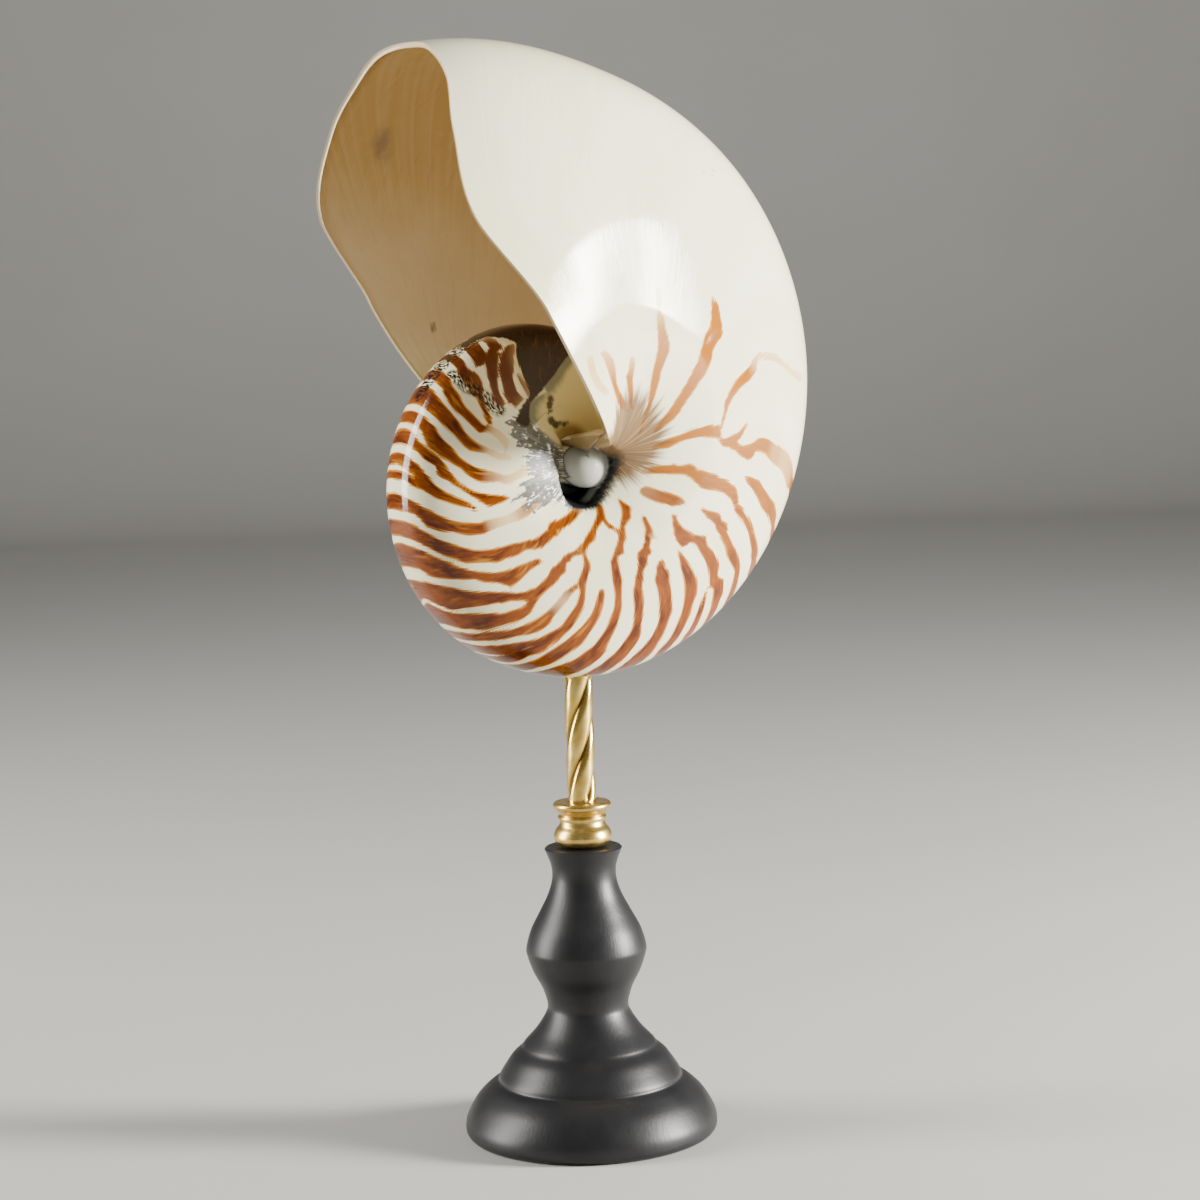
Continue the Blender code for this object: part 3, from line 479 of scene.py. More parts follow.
def curve_through(points, steps):
    """A smooth line through outline points, with `steps` pieces between two of them."""
    line = []
    for i in range(len(points) - 1):
        here, there = Vector(points[i]), Vector(points[i + 1])
        before = Vector(points[i - 1]) if i > 0 else here * 2 - there
        after = Vector(points[i + 2]) if i + 2 < len(points) else there * 2 - here
        start, end = (there - before) / 2, (after - here) / 2
        for step in range(steps):
            t = step / steps
            line.append(here + start * t + (there - here) * (3 * t * t - 2 * t ** 3)
                        - start * (2 * t * t - t ** 3) - end * (t * t - t ** 3))
    line.append(Vector(points[-1]))
    return [(point.x, point.y) for point in line]


class Skin:
    """Points, in millimetres, and faces of one closed mesh; each point may carry marks for its material."""

    def __init__(self):
        self.points, self.faces, self.marks = [], [], []

    def point(self, place, **marks):
        self.points.append(Vector(place) * MM)
        self.marks.append(marks)
        return len(self.points) - 1

    def face(self, *corners):
        kept = [corner for i, corner in enumerate(corners) if corner != corners[i - 1]]
        if len(kept) > 2:
            self.faces.append(kept)

    def rows(self, rows):
        """Faces between rows that hold the same columns, or the columns that both hold."""
        for here, there in zip(rows, rows[1:]):
            shared = sorted(set(here) & set(there))
            for left, right in zip(shared, shared[1:]):
                self.face(here[left], here[right], there[right], there[left])

    def rings(self, rings):
        for lower, upper in zip(rings, rings[1:]):
            for i in range(len(lower)):
                after = (i + 1) % len(lower)
                self.face(lower[i], lower[after], upper[after], upper[i])

    def mark(self, name):
        return np.array([marks.get(name, 0.0) for marks in self.marks], np.float32)


def make_object(name, skin, look):
    mesh = bpy.data.meshes.new(name)
    mesh.from_pydata(skin.points, [], skin.faces)
    mesh.validate()
    mesh.shade_smooth()
    mesh.materials.append(look)
    made = bpy.data.objects.new(name, mesh)
    bpy.context.scene.collection.objects.link(made)
    return made


def finish_piece(name, skin, look, sharp_degrees, node):
    """Makes a skin into an object that stands for a node of the frame, and gives its mesh."""
    piece = make_object(name, skin, look)
    piece.data.set_sharp_from_angle(angle=math.radians(sharp_degrees))
    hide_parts(node)
    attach(piece, "root")
    return piece.data


def set_marks(mesh, name, values):
    attribute = mesh.attributes.new(name, "FLOAT", "POINT")
    attribute.data.foreach_set("value", np.asarray(values, np.float32))


def outline_share(column):
    """How far round the section's outline a column lies, from 0 at the outer wall to 1 at the umbilicus."""
    t = abs(column) / COLUMNS
    return t - OUTER_CROWDING * t * (1 - t) ** 2


def section(u):
    """(distance from the coiling axis, half breadth) of one turn's outline, from u = 0 outside to u = 1."""
    if u < OUTER_SHARE:
        angle = u / OUTER_SHARE * math.pi / 2
        reach = SHOULDER + (1 - SHOULDER) * math.cos(angle) ** OUTER_ROUNDNESS
        return reach, HALF_BREADTH * math.sin(angle) ** FLANK_FULLNESS
    angle = (u - OUTER_SHARE) / (1 - OUTER_SHARE) * math.pi / 2
    reach = SHOULDER - (SHOULDER - AXIS_END) * math.sin(angle)
    return reach, HALF_BREADTH * (UMBILICUS_DEPTH + (1 - UMBILICUS_DEPTH) * math.cos(angle))


def turn_radius(growth):
    """Radius of the outer wall; growth is the angle grown, 0 at the lip and negative before it."""
    flare = curve_value(FLARE, math.degrees(growth))
    return LIP_RADIUS * TURN_RATIO ** (growth / (2 * math.pi)) * (1 + flare)


def coil_point(growth, reach, breadth):
    angle = LIP_ANGLE + growth
    return Vector((reach * math.cos(angle), breadth, reach * math.sin(angle)))


def smooth_step(low, high, x):
    t = min(max((x - low) / (high - low), 0.0), 1.0)
    return t * t * (3 - 2 * t)


def dome_height(place):
    """How far out from the plane of symmetry the boss in the umbilicus stands at this place, or 0 beside it."""
    across, up = (place.x - DOME_CENTRE.x) / DOME_RADII.x, (place.z - DOME_CENTRE.z) / DOME_RADII.z
    left = 1 - across ** 2 - up ** 2
    return DOME_CENTRE.y + DOME_RADII.y * math.sqrt(left) if left > 0 else 0.0


def raise_dome(place):
    """Moves a place in the umbilicus out to the boss, where that stands higher."""
    side, depth, dome = math.copysign(1, place.y), abs(place.y), dome_height(place)
    if dome > 0:
        gap = (dome - depth) / DOME_BLEND
        depth = dome if gap > MOST_BLEND else depth + DOME_BLEND * math.log1p(math.exp(gap))
    return Vector((place.x, side * depth, place.z))


def outer_point(growth, column):
    u = outline_share(column)
    reach, breadth = section(u)
    radius = turn_radius(growth)
    depth = breadth * radius
    rim = curve_value(RIM, math.degrees(growth))
    if u > rim and growth >= WHORL_START:
        turned_in = smooth_step(rim, rim + RIM_WIDTH, u)
        depth += (min(depth, PIT_FLOOR) - depth) * turned_in
    place = coil_point(growth, reach * radius, math.copysign(depth, column))
    return raise_dome(place) if u > rim and growth >= WHORL_START else place


def inner_point(growth, column):
    """A point on the inside of the wall, WALL under outer_point."""
    u = outline_share(column)
    radius = turn_radius(growth)
    reach, breadth = section(u)
    step = 0.01
    before, after = section(max(u - step, 0)), section(min(u + step, 1))
    along = Vector((after[0] - before[0], after[1] - before[1]))
    if u == 0:
        along = Vector((0, 1))
    inward = Vector((-along.y, along.x)).normalized() * WALL
    return coil_point(growth, reach * radius + inward.x, math.copysign(breadth * radius + inward.y, column))


def lip_growth(column):
    return math.radians(curve_value(LIP_EDGE, outline_share(column)))


def chamber_growth(share, column):
    """Growth angle in the body chamber, from 0 at the septum to 1 at the lip's edge."""
    return -CHAMBER_TURN + (lip_growth(column) + CHAMBER_TURN) * share


def columns_to(limit):
    return range(-limit, limit + 1)


def marks_at(growth, column):
    return {"growth": math.degrees(growth), "share": outline_share(column), "side": math.copysign(1, column)}


def outside_point(shell, growth, column):
    return shell.point(outer_point(growth, column), **marks_at(growth, column))


def outside_rows(shell):
    """Rows of points on the outside, from under the septum, one turn back, to the lip."""
    rows = []
    for row in range(FLOOR_ROWS):
        growth = FLOOR_START + (WHORL_START - FLOOR_START) * row / FLOOR_ROWS
        rows.append({c: outside_point(shell, growth, c) for c in columns_to(FLOOR_COLUMNS)})
    for row in range(WHORL_ROWS):
        growth = WHORL_START + (-CHAMBER_TURN - WHORL_START) * row / WHORL_ROWS
        rows.append({c: outside_point(shell, growth, c) for c in columns_to(COLUMNS)})
    for row in range(CHAMBER_ROWS + 1):
        share = row / CHAMBER_ROWS
        rows.append({c: outside_point(shell, chamber_growth(share, c), c) for c in columns_to(COLUMNS)})
    return rows


def inside_rows(shell):
    """Rows of points on the inside of the body chamber's wall, from the septum to the lip."""
    rows = []
    for row in range(FLOOR_ROWS + 1):
        made = {}
        for c in columns_to(INNER_COLUMNS):
            growth = chamber_growth(row / FLOOR_ROWS, c)
            made[c] = shell.point(inner_point(growth, c), inside=1.0, **marks_at(growth, c))
        rows.append(made)
    return rows


def round_lip(shell, outside, inside):
    """The lip's rounded edge, between the last outside row and the last inside row."""
    ridges = []
    for step in range(1, LIP_STEPS):
        angle = math.pi * step / LIP_STEPS
        ridge = {}
        for column, number in inside.items():
            out, back = shell.points[outside[column]] / MM, shell.points[number] / MM
            growth = lip_growth(column)
            onward = coil_point(growth, 1, 0).cross(Vector((0, 1, 0))) * -LIP_ROUNDING
            place = (out + back) / 2 + (out - back) / 2 * math.cos(angle) + onward * math.sin(angle)
            ridge[column] = shell.point(place, lip=1.0, inside=step / LIP_STEPS, **marks_at(growth, column))
        ridges.append(ridge)
    shell.rows([outside] + ridges + [inside])
    for side in (-1, 1):
        end = side * INNER_COLUMNS
        rim = [ridge[end] for ridge in ridges] + [inside[end]]
        for column in range(INNER_COLUMNS, COLUMNS):
            shell.face(rim[0], outside[side * column], outside[side * (column + 1)])
        for here, there in zip(rim, rim[1:]):
            shell.face(here, outside[side * COLUMNS], there)


def close_umbilicus(shell, outside, inside, side):
    """Closes one side: the pit outside, the pillar in the chamber and the face between them at the aperture."""
    edge = side * COLUMNS
    centre = shell.point(raise_dome(Vector((0, side * PIT_DEPTH, 0))), growth=-180, share=1.0, side=side)
    last_turn = outside[FLOOR_ROWS:]
    for here, there in zip(last_turn, last_turn[1:]):
        shell.face(here[edge], there[edge], centre)
    levels = []
    for row in range(FLOOR_ROWS + 1):
        top, foot = inside[row][side * INNER_COLUMNS], outside[row][side * FLOOR_COLUMNS]
        level = [top]
        for step in range(1, PILLAR_STEPS):
            place = shell.points[top].lerp(shell.points[foot], step / PILLAR_STEPS) / MM
            level.append(shell.point(place, inside=1.0, growth=shell.marks[top]["growth"],
                                     share=PILLAR_PART, side=side))
        levels.append(dict(enumerate(level + [foot])))
    shell.rows(levels)
    front = [last_turn[-1][edge]] + list(levels[-1].values())
    front += [last_turn[0][side * column] for column in range(FLOOR_COLUMNS + 1, COLUMNS + 1)]
    spokes = []
    for number in front:
        spoke = {0: centre, FRONT_STEPS: number}
        for step in range(1, FRONT_STEPS):
            place = Vector((0, side * PIT_DEPTH, 0)).lerp(shell.points[number] / MM, step / FRONT_STEPS)
            spoke[step] = shell.point(raise_dome(place), front=1.0, growth=0, share=1.0, side=side)
        spokes.append(spoke)
    shell.rows(spokes)


def close_septum(shell, floor, wall):
    """The septum at the back of the chamber, hollowed toward the aperture, from the wall down to the floor."""
    levels = [{c: wall[c] for c in columns_to(FLOOR_COLUMNS)}]
    for step in range(1, SEPTUM_STEPS):
        t = step / SEPTUM_STEPS
        level = {}
        for column in columns_to(FLOOR_COLUMNS):
            sag = SEPTUM_SAG * math.sin(math.pi * t) * (1 - (column / FLOOR_COLUMNS) ** 2)
            flat = shell.points[wall[column]].lerp(shell.points[floor[column]], t) / MM
            turned = Vector((flat.x, 0, flat.z))
            turned.rotate(Euler((0, sag, 0)))
            level[column] = shell.point((turned.x, flat.y, turned.z), inside=1.0, share=SEPTUM_PART,
                                        growth=-math.degrees(CHAMBER_TURN), side=math.copysign(1, column))
        levels.append(level)
    levels.append(floor)
    shell.rows(levels)
    for side in (-1, 1):
        edge = side * FLOOR_COLUMNS
        for here, there in zip(levels, levels[1:]):
            shell.face(wall[side * INNER_COLUMNS], here[edge], there[edge])


def outline_tables():
    """For a turn of radius 1: outline share, distance from the coiling axis, length of outline per share."""
    shares = np.linspace(0, 1, 201)
    outline = np.array([section(share) for share in shares])
    stretch = np.hypot(*np.gradient(outline, shares, axis=0).T)
    return shares, outline[:, 0], np.minimum(stretch, MOST_STRETCH)


class Flank:
    """The outside's points as a drawing sees them; depths are in millimetres, positive inside what is drawn."""

    def __init__(self, growth, share):
        shares, reach, stretch = outline_tables()
        radius = LIP_RADIUS * TURN_RATIO ** (growth / 360)
        self.place = np.stack((growth, share))
        self.scale = np.stack((radius * np.interp(share, shares, reach) * math.pi / 180,
                               radius * np.interp(share, shares, stretch)))

    def near(self, corners):
        low, high = np.min(corners, 0) - NEAR, np.max(corners, 0) + NEAR
        return np.flatnonzero(np.all((self.place.T > low) & (self.place.T < high), 1))

    def beside(self, near, start, end):
        """For the near points, the nearest place along a straight edge, from 0 to 1, and the distance to it."""
        scale = self.scale[:, near]
        across, along = (self.place[:, near] - np.reshape(start, (2, 1))) * scale
        edge_across, edge_along = np.reshape(np.subtract(end, start), (2, 1)) * scale
        length = np.maximum(edge_across ** 2 + edge_along ** 2, 1e-9)
        t = np.clip((across * edge_across + along * edge_along) / length, 0, 1)
        return t, np.hypot(across - edge_across * t, along - edge_along * t)

    def area(self, corners):
        """Depth inside a closed outline of (growth, share) corners."""
        near = self.near(corners)
        growth, share = self.place[:, near]
        inside, nearest = np.zeros(len(near), bool), np.full(len(near), FAR)
        for start, end in zip(corners, (*corners[1:], corners[0])):
            nearest = np.minimum(nearest, self.beside(near, start, end)[1])
            if start[1] != end[1]:
                crossing = start[0] + (end[0] - start[0]) * (share - start[1]) / (end[1] - start[1])
                inside ^= ((start[1] > share) != (end[1] > share)) & (growth < crossing)
        depth = np.full(self.place.shape[1], -FAR)
        depth[near] = np.where(inside, nearest, -nearest)
        return depth

    def stroke(self, points):
        """Depth inside a line of (growth, share, half width[, strength]) points, and the line's strength."""
        points = [(*point, 1.0)[:4] for point in points]
        depth, strength = np.full(self.place.shape[1], -FAR), np.ones(self.place.shape[1])
        near = self.near([point[:2] for point in points])
        for start, end in zip(points, points[1:]):
            t, distance = self.beside(near, start[:2], end[:2])
            found = (start[2] + (end[2] - start[2]) * t) * self.scale[1, near] - distance
            better = found > depth[near]
            depth[near[better]] = found[better]
            strength[near[better]] = (start[3] + (end[3] - start[3]) * t)[better]
        return depth, strength

    def stripe(self, rows):
        """Depth inside a stripe of (share, older edge, younger edge[, strength]) rows, and its strength."""
        rows = [(*row, 1.0)[:4] for row in rows]
        if rows[0][0] == 0:
            rows.insert(0, (-NEAR[1], *rows[0][1:]))
        corners = [(row[1], row[0]) for row in rows] + [(row[2], row[0]) for row in reversed(rows)]
        shares, strengths = [row[0] for row in rows], [row[3] for row in rows]
        return self.area(corners), np.interp(self.place[1], shares, strengths)


def panel_growth(panel, step):
    start, per_degree, _ = PANELS[panel]
    return round(start + step / per_degree, 1)


def stripe_rows(parts):
    """A stripe's rows as (part of the outline, growth at the older edge, at the younger edge[, strength])."""
    return [(share, panel_growth(panel, older), panel_growth(panel, younger), *strength)
            for panel, rows in parts for share, older, younger, *strength in rows]


def streak_points(panel, points):
    """A stroke's points as (growth, part of the outline, half width[, strength])."""
    per_outline = PANELS[panel][2]
    return [(panel_growth(panel, along), round(down / per_outline + PANEL_TOP, 3), round(half / per_outline, 4),
             *strength) for along, down, half, *strength in points]


def drawn(found):
    """Unites drawings that are (depth, strength) pairs."""
    depths, strengths = (np.stack(values) for values in zip(*found))
    deepest = np.argmax(depths, 0)[None]
    return np.take_along_axis(depths, deepest, 0)[0], np.take_along_axis(strengths, deepest, 0)[0]


def far_flank(growth, share, side):
    """Growth and share at which a flank shows the drawing: the two sides differ but meet at the keel."""
    away = np.clip(share / FAR_FROM, 0, 1) ** 2 * (side > 0)
    waves = sum(size * np.sin(growth / length + start + share * turn)
                for size, length, start, turn in FAR_WAVES)
    swell = FAR_SWELL * away * np.sin(growth / FAR_SWELL_LENGTH + FAR_SWELL_START)
    return growth + away * waves, share * (1 + swell)


def boss_mark(local, front):
    """How far into the boss of the umbilicus each point lies; above 0 it has the boss's colour."""
    dome = np.array([dome_height(Vector(point)) for point in local])
    boss = np.where(dome > 0, 1 - (np.abs(local[:, 1]) - dome), -1)
    across, up = (local[:, 0] - DOME_CENTRE.x) / DOME_RADII.x, (local[:, 2] - DOME_CENTRE.z) / DOME_RADII.z
    return np.where(front > 0, np.clip((1 - np.hypot(across, up)) * BOSS_EDGE, -1, 1), boss)


def mark_shell(mesh, shell, local):
    """Stores what the shell's material needs at each point; local holds the points about the coiling axis."""
    growth, share, side, inside, front, lip = (
        shell.mark(name) for name in ("growth", "share", "side", "inside", "front", "lip"))
    outside = (inside == 0) & (front == 0)
    flank, wall = Flank(*far_flank(growth, share, side)), Flank(growth, share)
    stripe, strength = drawn([flank.stripe(stripe_rows(parts)) for parts in STRIPES]
                             + [flank.stroke(streak_points(*streak)) for streak in STREAKS])
    drawings = {"stripe": stripe, "film": flank.area(FILM),
                "rubbed": np.where(side < 0, flank.area(RUBBED), -FAR),
                "speckled": np.maximum(flank.stroke(SPECKLED)[0], flank.stroke(KEEL_SPECKLED)[0]),
                "spots": np.max([flank.stroke((spot, spot))[0] for spot in PIT_SPOTS], 0)}
    for name, depth in drawings.items():
        set_marks(mesh, name, np.where(outside, depth, -FAR))
    for name, line in (("smudge", SMUDGE), ("crack", CRACK)):
        set_marks(mesh, name, np.where((inside > 0) & (side > 0), wall.stroke(line)[0], -FAR))
    rim = np.array([curve_value(RIM, angle) for angle in growth])
    funnel = np.where(growth < math.degrees(WHORL_START), -1, np.clip((share - rim) / RIM_WIDTH, -1, 2))
    away = local[:, [0, 2]] - FAN_CENTRE
    turn = np.degrees(np.arctan2(away[:, 1], away[:, 0]))
    fan = np.interp(turn, *zip(*FAN_REACH)) - np.hypot(*away.T)
    edge = np.array([curve_value(LIP_EDGE, part) for part in share])
    others = {"growth": growth, "share": share * side, "line": growth - edge, "inside": inside, "front": front,
              "lip": lip, "boss": boss_mark(local, front), "fan_turn": turn, "strength": strength,
              "funnel": np.where(outside, funnel, -1),
              "fan": np.where(outside & (growth > FAN_OLDEST), fan, FAN_BEYOND)}
    for name, value in others.items():
        set_marks(mesh, name, value)


def lowest_growth():
    """Growth angle at which the outer wall of the last turn stands over the stem's axis."""
    low, high = -LIP_ANGLE - math.pi * 0.6, -LIP_ANGLE - math.pi * 0.3
    for _ in range(HALVINGS):
        middle = (low + high) / 2
        if COIL_CENTRE.x + coil_point(middle, turn_radius(middle), 0).x < 0:
            low = middle
        else:
            high = middle
    return low


def shell_underside():
    growth = lowest_growth()
    return COIL_CENTRE.z + coil_point(growth, turn_radius(growth), 0).z * math.cos(SHELL_LEAN)


class Look:
    """A material and the nodes that feed its shader."""

    def __init__(self, name):
        self.material = bpy.data.materials.new(name)
        self.material.use_nodes = True
        self.nodes, self.links = self.material.node_tree.nodes, self.material.node_tree.links
        self.shader = self.nodes["Principled BSDF"]

    def feed(self, socket, value):
        if isinstance(value, bpy.types.NodeSocket):
            self.links.new(value, socket)
        elif isinstance(value, tuple) and socket.type == "RGBA":
            socket.default_value = (*value, 1.0)
        else:
            socket.default_value = value

    def put(self, kind, inputs, **settings):
        node = self.nodes.new(kind)
        for name, value in settings.items():
            setattr(node, name, value)
        for key, value in inputs.items():
            self.feed(node.inputs[key], value)
        return node

    def finish(self, **inputs):
        """Feeds the shader; input names are written in lower case with underlines."""
        for name, value in inputs.items():
            self.feed(self.shader.inputs[name.replace("_", " ").title().replace("Ior", "IOR")], value)
        return self.material

    def maths(self, operation, *values):
        return self.put("ShaderNodeMath", dict(enumerate(values)), operation=operation).outputs[0]

    def chain(self, operation, first, *others):
        for other in others:
            first = self.maths(operation, first, other)
        return first

    def times(self, *values):
        return self.chain("MULTIPLY", *values)

    def add(self, *values):
        return self.chain("ADD", *values)

    def most(self, *values):
        return self.chain("MAXIMUM", *values)

    def mark(self, name):
        return self.put("ShaderNodeAttribute", {}, attribute_name=name).outputs["Fac"]

    def outline(self):
        """Part of the outline, from 0 at the keel to 1 at the umbilicus, on either flank."""
        return self.maths("ABSOLUTE", self.mark("share"))

    def join(self, x, y, z=0.0):
        return self.put("ShaderNodeCombineXYZ", {0: x, 1: y, 2: z}).outputs[0]

    def place(self):
        """(x, y, z) in millimetres in the piece's own frame."""
        where = self.put("ShaderNodeTexCoord", {}).outputs["Object"]
        parts = self.put("ShaderNodeSeparateXYZ", {0: where})
        return [self.times(part, 1 / MM) for part in parts.outputs]

    def noise(self, where, scale=1.0, detail=2.0, roughness=0.5):
        return self.put("ShaderNodeTexNoise", {"Vector": where, "Scale": scale, "Detail": detail,
                                               "Roughness": roughness}).outputs[0]

    def spread(self, value, size):
        """A value around 0.5 turned into one around 0, about `size` from end to end."""
        return self.times(self.add(value, -0.5), 2 * size)

    def step(self, value, low, high):
        """Rises from 0 at low to 1 at high, or falls if low is the greater."""
        if low > high:
            return self.maths("SUBTRACT", 1.0, self.step(value, high, low))
        return self.put("ShaderNodeMapRange", {"Value": value, "From Min": low, "From Max": high},
                        interpolation_type="SMOOTHSTEP").outputs[0]

    def between(self, value, low, high):
        return self.put("ShaderNodeMapRange", {"Value": value, "To Min": low, "To Max": high}).outputs[0]

    def mix(self, share, below, above):
        return self.put("ShaderNodeMix", {0: share, 6: below, 7: above}, data_type="RGBA").outputs[2]

    def bump(self, height, distance, strength=1.0):
        return self.put("ShaderNodeBump", {"Height": height, "Distance": distance * MM,
                                           "Strength": strength}).outputs[0]


def shell_grain(look, kind, across_mark="line"):
    """Noise that follows the growth lines, with one of the sets in GRAINS."""
    across, along, detail = GRAINS[kind]
    where = look.join(look.times(look.mark(across_mark), across), look.times(look.mark("share"), along))
    return look.noise(where, 1.0, detail)


def draw_ground(look):
    """The bare cream shell, a little uneven and with faint growth lines."""
    cloud = look.step(shell_grain(look, "cream cloud"), 0.3, 0.7)
    lines = look.step(shell_grain(look, "cream lines"), 0.35, 0.7)
    return look.mix(look.times(lines, 0.35), look.mix(cloud, CREAM_WARM, CREAM), CREAM_LINE)


def draw_stripes(look, below):
    """Red-brown stripes with jagged edges; young and weak ones are more golden."""
    growth, strength = look.mark("growth"), look.mark("strength")
    jag = look.spread(shell_grain(look, "jag"), 0.8)
    fine_jag = look.spread(shell_grain(look, "fine jag"), 0.3)
    depth = look.add(look.mark("stripe"), jag, fine_jag, STRIPE_SPREAD)
    core = look.times(look.step(depth, 0.0, 0.65), look.between(shell_grain(look, "streaks"), 0.65, 1.35))
    brown = look.mix(look.step(shell_grain(look, "brown patches"), 0.42, 0.66), STRIPE, STRIPE_DARK)
    brown = look.mix(look.step(growth, *YOUNG_STRIPES), brown, STRIPE_YOUNG)
    colour = look.mix(core, STRIPE_EDGE, brown)
    glow = look.times(look.step(shell_grain(look, "glow"), 0.56, 0.72), look.step(growth, *GLOWING_STRIPES))
    colour = look.mix(look.times(glow, 0.75), colour, STRIPE_GLOW)
    colour = look.mix(look.step(strength, 1.0, 0.3), colour, STRIPE_WEAK)
    colour = look.mix(look.times(look.step(growth, *OLDEST_STRIPES), 0.8), colour, STRIPE_DARK)
    cover = look.times(look.step(depth, -0.14, 0.14), look.between(strength, 0.25, 1.0))
    return look.mix(cover, below, colour)


def draw_fan(look, below):
    """Tan rays that spread from the umbilicus, with darker hairs between them."""
    turn, fan = look.mark("fan_turn"), look.mark("fan")
    rays = look.noise(look.join(look.times(turn, FAN_RAYS), 0.0), 1.0, 3.0)
    hairs = look.noise(look.join(look.times(turn, FAN_HAIRS), look.times(fan, 0.03)), 1.0, 3.0)
    depth = look.add(fan, look.spread(rays, 7.0), look.spread(hairs, 3.0))
    colour = look.mix(look.step(hairs, 0.52, 0.66), FAN_TAN, FAN_DARK)
    colour = look.mix(look.step(hairs, 0.46, 0.34), colour, FAN_LIGHT)
    return look.mix(look.times(look.step(depth, -1.5, 4.5), 0.92), below, colour)


def draw_rubbed(look, below):
    """Silvery grey scratches, running out from the umbilicus, with painted glints of highlight."""
    clots = look.times(look.noise(look.join(*look.place()), 0.6, 4.0), 0.4)
    scratches = look.add(look.times(shell_grain(look, "scratches"), 0.6), clots)
    glints = look.add(look.times(shell_grain(look, "glints"), 0.6), clots)
    depth = look.add(look.mark("rubbed"), look.spread(scratches, 8.0))
    grey = look.mix(look.step(scratches, 0.44, 0.56), RUBBED_DARK, RUBBED_GREY)
    grey = look.mix(look.step(glints, 0.55, 0.60), grey, RUBBED_GLINT)
    return look.mix(look.times(look.step(depth, -0.4, 0.7), look.between(glints, 0.75, 1.1)), below, grey)


def draw_film(look, below):
    """Dark film over the oldest part in sight, thinning to a yellow stain; specks of it remain farther out."""
    depth = look.mark("film")
    stain = look.times(look.step(look.mark("growth"), *STAINED), look.step(depth, -3.0, 0.5), 0.45)
    colour = look.mix(stain, below, FILM_STAIN)
    film = look.mix(look.step(shell_grain(look, "film patches"), 0.55, 0.68), FILM_BLACK, FILM_RED)
    depth = look.add(depth, look.spread(shell_grain(look, "film edge"), 0.7), -0.35)
    colour = look.mix(look.step(depth, -0.25, 0.25), colour, film)
    specks = look.step(shell_grain(look, "film specks"), 0.44, 0.50)
    return look.mix(look.times(look.step(look.mark("speckled"), -1.6, -0.2), specks), colour, FILM_BLACK)


def draw_inside(look, below):
    """The tan inside of the body chamber, paler toward the bottom, and its cream lip."""
    x, y, z = look.place()
    cloud = look.noise(look.join(x, y, z), 0.03, 4.0)
    height = look.step(look.add(z, look.spread(cloud, 25.0)), *CHAMBER_LEVELS)
    colour = look.mix(height, INSIDE_LOW, INSIDE_HIGH)
    lines = look.step(shell_grain(look, "inside lines", "growth"), 0.4, 0.7)
    colour = look.mix(look.times(lines, 0.3), colour, INSIDE_LINE)
    colour = look.mix(look.times(look.step(look.mark("smudge"), -2.4, 0.8), 0.6), colour, SMUDGE_GREY)
    colour = look.mix(look.times(look.step(look.mark("crack"), -0.6, 0.2), 0.8), colour, FILM_BLACK)
    colour = look.mix(look.step(look.mark("inside"), 0.3, 0.8), below, colour)
    return look.mix(look.times(look.mark("lip"), 0.7), colour, LIP)


def draw_old_wall(look, below):
    """The yellow wall of the oldest turn in sight and of the pillar beside it, greener next to the film."""
    growth, share, film = look.mark("growth"), look.outline(), look.mark("film")
    flank = look.most(look.step(share, *OLD_FLANK_SHARE), look.step(growth, *OLD_FLANK))
    old = look.times(look.step(growth, *OLD_WALL), look.step(share, *OLD_WALL_SHARE), flank,
                     look.step(film, 1.0, 0.5))
    spared = look.times(look.step(look.mark("funnel"), -0.2, 0.1), look.step(growth, *SPARED))
    old = look.times(old, look.maths("SUBTRACT", 1.0, spared))
    pillar = look.times(look.mark("inside"), look.step(share, *PILLAR_SHARE), look.step(growth, *PILLAR))
    near = look.step(look.add(film, look.spread(shell_grain(look, "pit shade"), 1.0)), -2.8, -0.4)
    return look.mix(look.most(old, pillar), below, look.mix(near, PIT_YELLOW, PIT_GREEN))


def draw_ledge(look, below):
    """The brown ridge on the old wall, the ledge where it meets the lip, and dark spots on the old wall."""
    growth, share = look.mark("growth"), look.outline()
    ridge = look.times(look.step(share, *RIDGE_SHARE), look.step(growth, *RIDGE))
    edge = look.most(look.mark("lip"), look.times(look.mark("inside"), look.step(growth, *EDGE)))
    ledge = look.times(edge, look.step(share, *LEDGE_SHARE))
    turned = look.times(look.step(share, *TURNED_SHARE), look.step(look.mark("line"), *TURNED))
    colour = look.mix(look.most(ridge, ledge, turned, look.mark("front")), below, PIT_RIDGE)
    spots = look.add(look.mark("spots"), look.spread(shell_grain(look, "pit spots"), 0.9))
    return look.mix(look.times(look.step(spots, -0.4, 0.5), 0.9), colour, FILM_BLACK)


def draw_groove_shade(look, below):
    """The groove round the umbilicus, painted near black as shade on its lower right side, and the thin pale
    crest in it.
    """
    growth, funnel = look.mark("growth"), look.mark("funnel")
    ragged = look.add(funnel, look.spread(shell_grain(look, "groove edge"), 0.2))
    groove = look.times(*(look.step(growth, *end) for end in SHADED_GROOVE), look.step(ragged, -0.05, 0.2))
    crest = look.times(look.step(funnel, 0.35, 0.45), look.step(funnel, 0.62, 0.52),
                       *(look.step(growth, *end) for end in CREST), 0.7)
    return look.mix(crest, look.mix(groove, below, GROOVE_SHADE), PEARL)


def draw_boss(look, below):
    """The pearly boss in the umbilicus, with painted shade at its foot and a darker, browner painted shade on
    top.
    """
    boss = look.mark("boss")
    pearl = look.mix(look.step(look.place()[2], *PEARL_SHADE_LEVEL), PEARL, PEARL_TOP_SHADE)
    pearl = look.mix(look.step(boss, 0.4, 0.95), PEARL_SHADE, pearl)
    return look.mix(look.times(look.step(boss, 0.0, 0.5), look.step(look.outline(), *BOSS_SHARE)), below, pearl)


